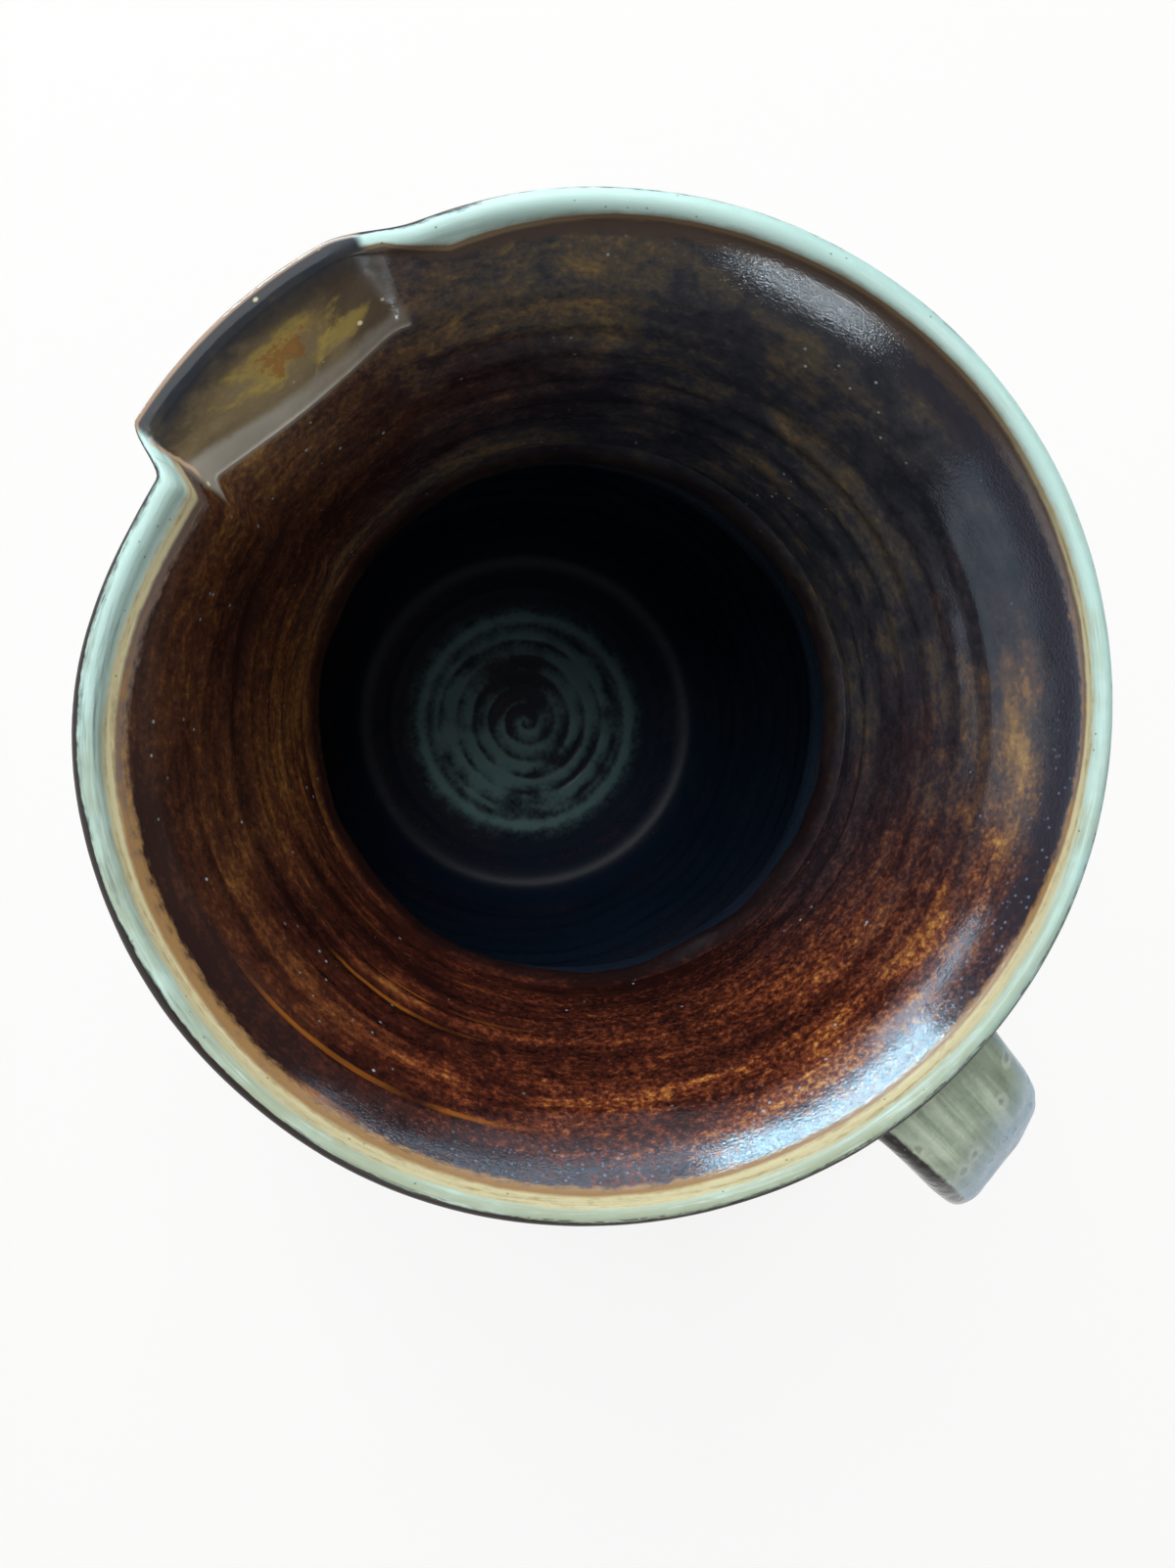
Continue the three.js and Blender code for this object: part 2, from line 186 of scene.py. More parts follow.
def bezier(controls, count=60):
    t = np.linspace(0, 1, count)[:, None]
    layers = [np.tile(np.asarray(c, float), (count, 1)) for c in controls]
    while len(layers) > 1:
        layers = [a + (b - a) * t for a, b in zip(layers, layers[1:])]
    return layers[0]


def bell(value, middle, width):
    return np.exp(-((value - middle) / width) ** 2)


def wall_outside():
    """Radius and height of the outside, from the foot to the rim."""
    foot, belly = (FOOT_RADIUS, FOOT_BEVEL), (BELLY_RADIUS, BELLY_HEIGHT)
    neck, rim = (NECK_RADIUS, NECK_HEIGHT), (RIM_RADIUS, RIM_EDGE)
    swollen = FOOT_RADIUS + (BELLY_RADIUS - FOOT_RADIUS) * FOOT_SWELL
    half = SHOULDER_HEIGHT / 2
    pull, flare = MOUTH_HEIGHT / 3, radians(FLARE_ANGLE)
    full = BELLY_HEIGHT * (1 - BELLY_FULLNESS)
    spans = [
        bezier([foot, (swollen, BELLY_HEIGHT / 3), (BELLY_RADIUS, full), belly]),
        bezier([belly, (BELLY_RADIUS, BELLY_HEIGHT + half), (NECK_RADIUS, NECK_HEIGHT - half), neck]),
        bezier([
            neck,
            (NECK_RADIUS, NECK_HEIGHT + pull),
            (RIM_RADIUS - pull * sin(flare), RIM_EDGE - pull * cos(flare)),
            rim,
        ]),
    ]
    return np.vstack([spans[0], spans[1][1:], spans[2][1:]])


def inward(curve, distance):
    along = np.gradient(curve, axis=0)
    along /= np.linalg.norm(along, axis=1)[:, None]
    return curve + distance * np.column_stack([-along[:, 1], along[:, 0]])


OUTSIDE = wall_outside()
INSIDE = inward(OUTSIDE, WALL)


def radius_at(curve, height):
    return np.interp(height, curve[:, 1], curve[:, 0])


class Surface:
    """A grid of points about +Z: columns go round from the lip, rows follow the wall's section."""

    def __init__(self, angles, radius, height):
        self.angle = np.broadcast_to(angles[:, None], radius.shape)
        self.radius, self.height = radius, height
        self.values = {}

    def points(self):
        x, y = -self.radius * np.cos(self.angle), -self.radius * np.sin(self.angle)
        return np.stack([x, y, self.height], axis=-1)

    def arc(self):
        steps = np.hypot(np.diff(self.radius, axis=1), np.diff(self.height, axis=1))
        return np.pad(np.cumsum(steps, axis=1), ((0, 0), (1, 0)))

    def index(self):
        return np.arange(self.radius.size).reshape(self.radius.shape)

    def rings(self, pitch, seed):
        """Height, about -1 to 1, of the spiral ridge that fingers leave on a turning wall."""
        around = np.stack([30 * np.cos(self.angle), 30 * np.sin(self.angle), self.height], axis=-1)
        wobble = lumps(around, 60, seed)
        strength = 1 - RING_FADE + RING_FADE * lumps(around * [0.4, 0.4, 1], 16, seed + 1)
        phase = 2 * pi * self.height / pitch + self.angle + RING_WANDER * wobble
        return strength * np.sin(phase + RING_LEAN * np.sin(phase))

    def swell(self, amount):
        """Moves each point square to the section, outwards where amount is positive."""
        dr, dz = np.gradient(self.radius, axis=1), np.gradient(self.height, axis=1)
        size = np.maximum(np.hypot(dr, dz), 1e-6)
        self.radius = self.radius + amount * dz / size
        self.height = self.height - amount * dr / size

    def lay_glaze(self, crest, ridge):
        """Keeps the distance from the rim's crest, the ridges and the place round the wall."""
        self.values["crest"], self.values["ridge"] = crest, np.broadcast_to(ridge, crest.shape)
        self.values["flow"] = -self.points()
        self.values["flow"][..., 2] = crest


def new_piece(name, points, faces, node, material, values):
    """A smooth mesh piece that stands for one CAD node and carries values for its glaze."""
    used = np.unique(np.concatenate([np.ravel(group) for group in faces]))
    corners = (points.reshape(-1, 3)[used] * MM).tolist()
    mesh = bpy.data.meshes.new(name)
    groups = [np.searchsorted(used, group).tolist() for group in faces]
    mesh.from_pydata(corners, [], [face for group in groups for face in group])
    mesh.validate()
    for key, value in values.items():
        plain = value.ndim < 3
        kind, field, width = ("FLOAT", "value", 1) if plain else ("FLOAT_VECTOR", "vector", 3)
        attribute = mesh.attributes.new(key, kind, "POINT")
        attribute.data.foreach_set(field, value.reshape(-1, width)[used].astype(np.float32).ravel())
    mesh.shade_smooth()
    mesh.set_sharp_from_angle(angle=radians(SHARP_ANGLE))
    mesh.materials.append(material)
    piece = bpy.data.objects.new(name, mesh)
    bpy.context.scene.collection.objects.link(piece)
    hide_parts(node)
    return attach(piece, "root")


def quads(a, b, c, d):
    return np.stack([np.ravel(v) for v in (a, b, c, d)], axis=1)


def closed_quads(index):
    """Faces of a grid that closes on itself both ways."""
    after = np.roll(index, -1, axis=0)
    return quads(index, after, np.roll(after, -1, axis=1), np.roll(index, -1, axis=1))


def by_side(angle, pair):
    """The value for the lip's deeply pinched side or for its other side."""
    return np.where(angle > 0, *pair)


def past_lip(angle):
    """Degrees past the lip's edge, negative on the lip."""
    return np.degrees(np.abs(angle)) - by_side(angle, LIP_ANGLES)


def lip_share(angle):
    """1 on the lip and 0 beside it."""
    corner = by_side(angle, LIP_CORNERS)
    return 1 - smoothstep(past_lip(angle), -corner, corner)


def pinch(angle):
    """How far the rim is pressed in beside the lip."""
    beyond = np.maximum(past_lip(angle), 0)
    return by_side(angle, PINCHES) * bell(beyond, 0, by_side(angle, PINCH_SPREADS))


def collar_angles():
    """Angles from the lip's middle, with close steps over the lip and its pinched corners."""
    near = radians(LIP_NEIGHBOURHOOD)
    close = np.linspace(-near, near, 2 * LIP_COLUMNS + 1)
    rest = np.linspace(near, 2 * pi - near, COLLAR_COLUMNS - 2 * LIP_COLUMNS + 1)[1:-1]
    return np.concatenate([close, rest])


def inside_radius(height):
    """Inside of the mouth, where the wall thins towards the rim."""
    near = np.clip((height - HEIGHT + THIN_DEPTH) / (THIN_DEPTH - RIM_CROWN), 0, 1)
    return radius_at(INSIDE, height) + RIM_THINNING * near ** 2


def crease_height(angle, share):
    """Height of the lip's crease, which is straight across; beside the lip, an even height."""
    heights = np.linspace(HEIGHT - PINCH_DEPTH, RIM_EDGE - 1, 80)
    across = LIP_CREASE / np.cos(np.clip(angle, -0.5, 0.5))
    straight = np.interp(across, inside_radius(heights), heights)
    return CREASE_HEIGHT + (straight - CREASE_HEIGHT) * share


# Rows of the collar's section, as shares of its stretches: up the outside to the crease, on to the
# rim, then from the rim down the inside to the crease and on to the seam.
OUTER_LOW, OUTER_HIGH = np.linspace(0, 1, 50)[:-1], np.linspace(0, 1, 16)
INNER_HIGH, INNER_LOW = np.linspace(0, 1, 20)[:-1], np.linspace(0, 1, 70)
RIM_ROWS = 36
OUTER_EDGE_ROW = len(OUTER_LOW) + len(OUTER_HIGH) - 1
TOP_ROW = OUTER_EDGE_ROW + 1 + RIM_ROWS // 2
OUTER_CREASE_ROW = len(OUTER_LOW)
INNER_CREASE_ROW = OUTER_EDGE_ROW + 1 + RIM_ROWS + len(INNER_HIGH)


def collar_surface():
    angles = collar_angles()
    signed = np.where(angles > pi, angles - 2 * pi, angles)[:, None]
    share = lip_share(signed)
    crease = crease_height(signed, share)
    chord = RIM_RADIUS - inside_radius(RIM_EDGE)

    def shaped(radius, heights, thinning):
        lift = np.clip((heights - crease) / (RIM_EDGE - crease), 0, 1)
        pinched = (1 - share) * pinch(signed) * smoothstep(heights, HEIGHT - PINCH_DEPTH, RIM_EDGE)
        push = share * (LIP_REACH - RIM_RADIUS + thinning * (chord - LIP_EDGE))
        upward = smoothstep(heights, SEAM_HEIGHT + RIM_OVAL_START, RIM_EDGE)
        oval = RIM_OVAL * np.cos(2 * (signed - radians(RIM_OVAL_SIDE))) * upward
        return radius + lift * push + oval - pinched, heights - lift * share * LIP_DROP

    def past_crease(start, first, second, end):
        return np.hstack([start + (crease - start) * first, crease + (end - crease) * second])

    outer = past_crease(JOINT_HEIGHT, OUTER_LOW, OUTER_HIGH, RIM_EDGE)
    inner = past_crease(RIM_EDGE, INNER_HIGH, INNER_LOW, SEAM_HEIGHT)
    outer_r, outer_z = shaped(radius_at(OUTSIDE, outer), outer, 0)
    inner_r, inner_z = shaped(inside_radius(inner), inner, 1)
    turn = np.linspace(0, pi, RIM_ROWS + 2)[1:-1]
    wide = outer_r[:, -1:] - inner_r[:, :1]
    rim_r = inner_r[:, :1] + wide * (1 + np.cos(turn)) / 2
    rim_z = outer_z[:, -1:] + RIM_CROWN * wide / chord * (1 - LIP_FLATNESS * share) * np.sin(turn)
    radius, height = np.hstack([outer_r, rim_r, inner_r]), np.hstack([outer_z, rim_z, inner_z])
    surface = Surface(angles, radius, height)
    soften(surface, share)
    rows = np.arange(radius.shape[1])
    on_lip = (rows > OUTER_CREASE_ROW) & (rows <= INNER_CREASE_ROW)
    surface.values["lip"] = np.broadcast_to(on_lip * 1.0, radius.shape)
    surface.values["beyond"] = np.broadcast_to(past_lip(signed), radius.shape)
    surface.values["inset"] = rim_inset(surface)
    surface.values["band"] = glaze_band(surface.values["inset"], np.degrees(angles) + 180)
    relief(surface, signed, share)
    return surface


def rim_inset(surface):
    """Distance in from the rim's outer edge as seen from above; negative down the outside."""
    arc = surface.arc()
    seen = surface.radius + EYE_SLANT * (surface.height - HEIGHT)
    widest = np.argmax(seen, axis=1)[:, None]
    edge_seen, edge_arc = (np.take_along_axis(grid, widest, axis=1) for grid in (seen, arc))
    return np.where(np.arange(arc.shape[1]) < widest, arc - edge_arc, edge_seen - seen)


def glaze_band(inset, degrees):
    """0 to 3 where the rim's bands begin, and millimetres outside the first and beyond the last."""
    starts = [np.interp(degrees, BAND_SIDES, row, period=360)[:, None] for row in BAND_STARTS]
    within = sum(np.clip((inset - low) / (high - low), 0, 1) for low, high in zip(starts, starts[1:]))
    return within + np.minimum(inset - starts[0], 0) + np.maximum(inset - starts[-1], 0)


def soften(surface, share):
    """Rounds the section where rim and wall meet; the lip's crease stays crisper."""
    for turn in range(SOFT_ROUNDS):
        amount = SOFTNESS * (1 - share * (turn >= LIP_SOFT_ROUNDS))
        for grid in (surface.radius, surface.height):
            grid[:, 1:-1] += amount * (grid[:, 2:] + grid[:, :-2] - 2 * grid[:, 1:-1])


def relief(surface, signed, share):
    """Finger marks on the collar, the lip's dish and folds, and what the glaze needs."""
    crest = surface.arc()
    crest = crest - crest[:, TOP_ROW:TOP_ROW + 1]
    rows = np.arange(surface.radius.shape[1])
    points = surface.points()
    inner, outer = smoothstep(crest, *INNER_RINGS), smoothstep(-crest, *OUTER_RINGS)
    within, without = surface.rings(INSIDE_PITCH, 5), surface.rings(OUTSIDE_PITCH, 9)
    lip_face = share * smoothstep(crest, *LIP_FACE) * (rows < INNER_CREASE_ROW)
    across = np.clip((rows - TOP_ROW) / (INNER_CREASE_ROW - TOP_ROW), 0, 1)
    fold = bell(past_lip(signed), 0, LIP_FOLD_ANGLE)
    fold = fold * smoothstep(crest, *FOLD_START) * (1 - smoothstep(crest, *FOLD_END))
    calm = smoothstep(np.abs(surface.height - JOINT_HEIGHT), *JOINT_CALM)
    calm = calm * (0.2 + 0.8 * smoothstep(np.abs(crest), *RIM_CALM))
    amount = inner * within * INSIDE_RELIEF * (1 - share) + outer * without * OUTSIDE_RELIEF
    amount = amount + LUMP_RELIEF * lumps(points, LUMP_SIZE, 3) * calm
    amount = amount + DIMPLE_RELIEF * lumps(points, DIMPLE_SIZE, 4) * calm
    amount = amount - LIP_DISH * lip_face * np.sin(pi * across) + LIP_FOLD * fold
    surface.swell(amount)
    surface.lay_glaze(crest, np.where(crest > 0, within, without))


def collar_faces(surface):
    """Faces of the collar with the lip's notch, and of the lip that fills it."""
    index = surface.index()
    deep, other = (round(LIP_COLUMNS * angle / LIP_NEIGHBOURHOOD) for angle in LIP_ANGLES)
    first, last = LIP_COLUMNS - other, LIP_COLUMNS + deep
    low, high = OUTER_CREASE_ROW, INNER_CREASE_ROW
    in_lip = np.zeros(index.shape, bool)
    in_lip[first:last, low:high] = True
    skin = closed_quads(index).reshape(*index.shape, 4)
    pairs = (high - low) // 2
    up = index[:, low:low + pairs + 1]
    down = index[:, high:high - pairs - 1:-1]
    side_a = quads(up[first, :-1], down[first, :-1], down[first, 1:], up[first, 1:])
    side_b = quads(up[last, :-1], up[last, 1:], down[last, 1:], down[last, :-1])
    low_edge, high_edge = index[first:last + 1, low], index[first:last + 1, high]
    bed = quads(low_edge[:-1], high_edge[:-1], high_edge[1:], low_edge[1:])
    walls = np.vstack([side_a, side_b, bed])
    return np.vstack([skin[~in_lip], walls]), np.vstack([skin[in_lip], walls[:, ::-1]])


def belly_section():
    """Section from the foot's middle up the outside, over the tongue and in to the floor's middle, and
    the rows where foot, outside, tongue and inside end."""
    corner_radius, corner_top = radius_at(INSIDE, FLOOR), FLOOR + FLOOR_CORNER
    flat_foot, flat_floor = FOOT_RADIUS - FOOT_BEVEL, corner_radius - FLOOR_CORNER
    tongue_radius = NECK_RADIUS - WALL / 2
    foot = np.column_stack([np.linspace(0, flat_foot, FOOT_ROWS), np.zeros(FOOT_ROWS)])
    bevel = bezier([(flat_foot, 0), (FOOT_RADIUS, 0), (FOOT_RADIUS, FOOT_BEVEL)], BEVEL_ROWS)[1:]
    rise = np.linspace(FOOT_BEVEL, JOINT_HEIGHT, WALL_ROWS)[1:]
    fall = np.linspace(SEAM_HEIGHT, corner_top, WALL_ROWS)
    tongue = np.array([(tongue_radius, JOINT_HEIGHT), (tongue_radius, SEAM_HEIGHT)])
    above = (radius_at(INSIDE, corner_top), corner_top)
    corner = bezier([above, (corner_radius, FLOOR), (flat_floor, FLOOR)], CORNER_ROWS)[1:]
    floor = np.column_stack([np.linspace(flat_floor, 0, FLOOR_ROWS), np.full(FLOOR_ROWS, FLOOR)])[1:]
    outside = np.column_stack([radius_at(OUTSIDE, rise), rise])
    inside = np.column_stack([radius_at(INSIDE, fall), fall])
    ends = np.cumsum([len(foot) + len(bevel), len(outside), len(tongue), len(inside)])
    return np.vstack([foot, bevel, outside, tongue, inside, corner, floor]), ends


def floor_spiral(angle, radius):
    """Height of the floor's relief: a finger's spiral with a button, inside two round ridges."""
    around = np.stack([radius * np.cos(angle), radius * np.sin(angle), 0 * radius], axis=-1)
    phase = 2 * pi * radius / FLOOR_PITCH - angle + 0.5 * lumps(around, 40, 21)
    spiral = 0.4 + 0.6 * np.sin(phase + 0.6 * np.sin(phase)) * (1 + 0.6 * lumps(around, 14, 22))
    spiral = spiral + 0.55 * lumps(around, 22, 24) - 0.7 * bell(radius, 0, FLOOR_DIP_RADIUS)
    ring = bell(radius, FLOOR_RING_RADIUS, FLOOR_RING_WIDTH)
    ring = ring + 0.4 * bell(radius, FLOOR_EDGE_RADIUS, FLOOR_EDGE_WIDTH)
    button = bell(radius, 0, BUTTON_RADIUS)
    inner = 1 - smoothstep(radius, FLOOR_RING_RADIUS - 6, FLOOR_RING_RADIUS - 2)
    return inner * spiral + 1.2 * ring + 0.8 * button + 0.25 * lumps(around, 7, 23) * inner


def turned_surface(radius, height, columns):
    """One section turned through a whole turn."""
    angles = np.linspace(-pi, pi, columns, endpoint=False)
    return Surface(angles, np.tile(radius, (columns, 1)), np.tile(height, (columns, 1)))


def belly_surface():
    section, (foot_end, outside_end, tongue_end, inside_end) = belly_section()
    surface = turned_surface(section[:, 0], section[:, 1], BELLY_COLUMNS)
    rows = np.broadcast_to(np.arange(len(section)), surface.radius.shape)
    arc = surface.arc()
    points = surface.points()
    under, below = rows < foot_end, rows >= inside_end
    outside = (rows >= foot_end) & (rows < outside_end)
    inside = (rows >= tongue_end) & (rows < inside_end)
    without, within = surface.rings(OUTSIDE_PITCH, 9), surface.rings(BELLY_PITCH, 6)
    spiral = floor_spiral(surface.angle, surface.radius)
    calm = smoothstep(np.abs(surface.height - JOINT_HEIGHT), *JOINT_CALM)
    amount = outside * without * OUTSIDE_RELIEF * smoothstep(surface.height, *FOOT_RINGS)
    amount = amount + inside * within * BELLY_RELIEF + below * spiral * FLOOR_RELIEF
    amount = amount + (outside | inside) * LUMP_RELIEF * lumps(points, LUMP_SIZE, 3) * calm
    surface.swell(amount * smoothstep(surface.height, 0, FOOT_BEVEL))
    outer = -BELLY_CREST - arc[:, outside_end - 1:outside_end] + arc
    inner = BELLY_CREST + arc - arc[:, tongue_end:tongue_end + 1]
    ridge = np.where(outside, without, np.where(inside, within, np.where(below, spiral, 0)))
    surface.lay_glaze(np.where(rows < outside_end, outer, inner), ridge)
    surface.values["bare"] = under * 1.0
    return surface


def turned_faces(index):
    """Faces of a whole turn, of which the first and last rows each close in one point."""
    after = np.roll(index, -1, axis=0)
    body = quads(index[:, 1:-2], after[:, 1:-2], after[:, 2:-1], index[:, 2:-1])
    first, last = (np.full(len(index), index[0, end]) for end in (0, -1))
    fan_a = np.stack([first, after[:, 1], index[:, 1]], axis=1)
    fan_b = np.stack([last, index[:, -2], after[:, -2]], axis=1)
    return [body, fan_a, fan_b]


def coil_surface():
    """A pressed crescent over the inside of the seam, feathered into the wall."""
    across = np.linspace(-1, 1, COIL_ROWS)
    heights = SEAM_HEIGHT + across * COIL_HEIGHT / 2
    seam_radius = radius_at(INSIDE, SEAM_HEIGHT)
    wall = np.minimum(radius_at(INSIDE, heights), seam_radius)
    bulge = np.cos(across * pi / 2)
    face = wall - (GAP + COIL_THICKNESS) * bulge ** 2 + COIL_FEATHER * np.abs(across) ** 8
    radius = np.concatenate([wall + COIL_BACK, face[::-1]])
    height = np.concatenate([heights, heights[::-1]])
    surface = turned_surface(radius, height, COIL_COLUMNS)
    pressed = np.concatenate([np.zeros(COIL_ROWS), bulge[::-1]])
    points = surface.points()
    uneven = sum(depth * lumps(points, size, seed) for depth, size, seed in COIL_LUMPS)
    surface.swell(pressed * uneven)
    surface.lay_glaze(COIL_CREST - (surface.height - SEAM_HEIGHT), pressed)
    return surface


def handle_line():
    """The strap's middle line, as distances from the axis and heights."""
    lug = np.array([radius_at(OUTSIDE, HEIGHT - LUG_DROP) - WALL / 2, HEIGHT - LUG_DROP])
    wad_height = BELLY_HEIGHT + WAD_RISE
    wad = np.array([radius_at(OUTSIDE, wad_height) - WALL / 2, wad_height])
    outward = (8 * HANDLE_REACH - lug[0] - wad[0]) / 6
    upper = (outward - HANDLE_SKEW, lug[1] + HANDLE_ARCH)
    lower = (outward + HANDLE_SKEW, wad[1] + HANDLE_DROOP)
    return bezier([lug, upper, lower, wad], HANDLE_STEPS)


HANDLE_LINE = handle_line()
HANDLE_OUT, HANDLE_UP = np.diff(HANDLE_LINE, axis=0).T
HANDLE_ARC = np.concatenate([[0], np.cumsum(np.hypot(HANDLE_OUT, HANDLE_UP))])
HANDLE_LENGTH = HANDLE_ARC[-1]
# Where an eye above the mouth sees the strap turn away.
TIP_SLOPE = -1.5
TIP_ALONG = float(HANDLE_ARC[1:][HANDLE_UP < TIP_SLOPE * HANDLE_OUT][0])


def along_handle(distance, grid):
    """The pairs of a grid along the handle's line, at distances along it."""
    return np.stack([np.interp(distance, HANDLE_ARC, grid[:, k]) for k in (0, 1)], axis=-1)


def squared_off(value):
    """Turns a circle's coordinate into that of the strap's rounded rectangle."""
    return np.sign(value) * np.abs(value) ** (2 / STRAP_SQUARENESS)


def strap_grid(start, end):
    """Points of the strap between two distances along it, and their values for the glaze."""
    distance = np.linspace(start, end, max(6, round((end - start) / STRAP_STEP)))[:, None]
    slope = np.gradient(HANDLE_LINE, axis=0)
    slope /= np.linalg.norm(slope, axis=1)[:, None]
    centre, along = along_handle(distance, HANDLE_LINE), along_handle(distance, slope)
    near = np.minimum(distance / LUG_LENGTH, (HANDLE_LENGTH - distance) / WAD_LENGTH)
    root = np.exp(-near * near)
    width = STRAP_WIDTH + (STRAP_TAIL_WIDTH - STRAP_WIDTH) * distance / HANDLE_LENGTH
    width = width + root * ROOT_SPREAD
    thick = STRAP_THICKNESS + root * ROOT_SWELL
    turn = np.linspace(0, 2 * pi, STRAP_SIDES, endpoint=False)[None, :]
    distance, across, out = np.broadcast_arrays(
        distance, squared_off(np.cos(turn)), squared_off(np.sin(turn))
    )
    ribs = np.cos(across * 2.5 * pi) * (1 - np.abs(across) ** 4) * np.abs(out) ** 3
    around = np.stack([distance, across * STRIP_WIDTH, out * STRIP_THICKNESS], axis=-1)
    waver = lumps(around, 22, 41)
    uneven = STRAP_RIB * ribs * (1 - root) + STRAP_DIMPLE * lumps(around, 6, 42)
    lift = out * (thick / 2 + uneven + STRAP_WAVER * 0.6 * waver)
    sideways = (width / 2 + STRAP_WAVER * waver) * across
    bow = np.sin(pi * distance / HANDLE_LENGTH)
    twist = radians(STRAP_TWIST) * bow
    side = HANDLE_LEAN * bow + sideways * np.cos(twist) + lift * np.sin(twist)
    lift = lift * np.cos(twist) - sideways * np.sin(twist)
    x = centre[..., 0] - along[..., 1] * lift
    z = centre[..., 1] + along[..., 0] * lift
    buried = radius_at(OUTSIDE, z) - WALL / 2
    x = np.maximum(x, np.sqrt(np.maximum(buried ** 2 - side ** 2, 0)))
    return np.stack([x, side, z], axis=-1), {"along": distance, "across": across, "facing": out}


def tube_faces(rows):
    index = np.arange(rows * STRAP_SIDES).reshape(rows, STRAP_SIDES)
    after = np.roll(index, -1, axis=1)
    skin = quads(index[:-1], after[:-1], after[1:], index[1:])
    return [skin, index[:1, ::-1], index[-1:, :]]


class Glaze:
    """One material, or a world, made of nodes; most methods return an output socket."""

    def __init__(self, name, blocks=bpy.data.materials, shader="Principled BSDF"):
        self.block = blocks.new(name)
        self.block.use_nodes = True
        self.tree = self.block.node_tree
        self.shader = self.tree.nodes[shader]

    def node(self, kind, inputs, **settings):
        node = self.tree.nodes.new("ShaderNode" + kind)
        for key, value in settings.items():
            setattr(node, key, value)
        return self.feed(node, inputs)

    def feed(self, node, inputs):
        """Gives a node's inputs their sockets, colour codes or plain values."""
        for key, value in inputs.items():
            if isinstance(value, bpy.types.NodeSocket):
                self.tree.links.new(value, node.inputs[key])
            else:
                plain = linear(value) if isinstance(value, str) else value
                node.inputs[key].default_value = plain
        return node

    def value(self, name, output="Fac"):
        return self.node("Attribute", {}, attribute_name=name).outputs[output]

    def place(self):
        """The point on the object in millimetres."""
        coordinates = self.node("TexCoord", {}).outputs["Object"]
        return self.stretch(coordinates, (1 / MM,) * 3)

    def vectors(self, operation, *values, output="Vector"):
        node = self.node("VectorMath", dict(enumerate(values)), operation=operation)
        return node.outputs[output]

    def stretch(self, vector, by):
        return self.vectors("MULTIPLY", vector, by)

    def length(self, vector):
        return self.vectors("LENGTH", vector, output="Value")

    def facing(self, flow, degrees, radius):
        """About 1 on the pot's side in that direction, counted from the handle, and -1 opposite."""
        angle = radians(degrees - 180)
        direction = (cos(angle) / radius, sin(angle) / radius, 0.0)
        return self.vectors("DOT_PRODUCT", flow, direction, output="Value")

    def sides(self, flow, radius, *directions):
        return [self.facing(flow, degrees, radius) for degrees in directions]

    def near(self, flow, middle, size, wobble):
        """About 1 around one place on the wall, with a cloudy edge."""
        degrees, radius, depth = middle
        angle = radians(degrees - 180)
        place = (radius * cos(angle), radius * sin(angle), depth)
        away = self.vectors("SUBTRACT", flow, place)
        scaled = self.stretch(away, tuple(1 / s for s in size))
        return self.step(self.weigh(self.length(scaled), (wobble, 0.35)), 1.3, 0.1)

    def math(self, operation, a, b=0.0, c=0.0):
        return self.node("Math", {0: a, 1: b, 2: c}, operation=operation).outputs[0]

    def weigh(self, start, *terms):
        """start plus each value times its weight."""
        total = start
        for value, weight in terms:
            total = self.math("MULTIPLY_ADD", value, weight, total)
        return total

    def times(self, *values):
        total = values[0]
        for value in values[1:]:
            total = self.math("MULTIPLY", total, value)
        return total

    def step(self, value, low, high):
        """0 below low, 1 above high, smooth in between; falling where low is the larger."""
        inputs = {0: value, 1: low, 2: high}
        return self.node("MapRange", inputs, interpolation_type="SMOOTHSTEP").outputs[0]

    def noise(self, vector, by, detail=3.0, roughness=0.6, twist=0.0):
        """Noise of about -1 to 1, its features 1 / by across."""
        inputs = {"Vector": self.stretch(vector, by), "Scale": 1.0, "Detail": detail}
        inputs.update({"Roughness": roughness, "Distortion": twist})
        return self.math("MULTIPLY_ADD", self.node("TexNoise", inputs).outputs[0], 4.0, -2.0)

    def chosen(self, cells, share):
        """1 in a share of the cells of a loose pattern, and 0 in the others."""
        parts = self.node("SeparateColor", {0: cells.outputs["Color"]})
        return self.math("LESS_THAN", parts.outputs[0], share)

    def specks(self, vector, by, size, share):
        """Round dots in a share of the cells of a loose pattern."""
        cells = self.node("TexVoronoi", {"Vector": self.stretch(vector, (by,) * 3), "Scale": 1.0})
        dots = self.step(cells.outputs["Distance"], size, size * 0.45)
        return self.times(self.chosen(cells, share), dots)

    def coat(self, color, *layers):
        """Colours laid one over another, each by the product of its shares."""
        for over, *shares in layers:
            inputs = {0: self.times(*shares), 6: color, 7: over}
            color = self.node("Mix", inputs, data_type="RGBA").outputs[2]
        return color

    def ramp(self, value, stops, codes):
        node = self.node("ValToRGB", {0: value})
        elements = node.color_ramp.elements
        while len(elements) < len(stops):
            elements.new(1.0)
        for element, at, code in zip(elements, stops, codes):
            element.position, element.color = at, linear(code)
        return node.outputs[0]

    def bump(self, height, depth, under=None):
        """Relief of the given depth in millimetres."""
        inputs = {"Height": height, "Distance": depth * MM, "Strength": 1.0}
        if under:
            inputs["Normal"] = under
        return self.node("Bump", inputs).outputs[0]

    def finish(self, color, roughness, normal, gloss):
        inputs = {"Base Color": color, "Roughness": roughness, "Normal": normal}
        inputs.update({"IOR": GLAZE_IOR, "Specular IOR Level": gloss})
        self.feed(self.shader, inputs)
        return self.block


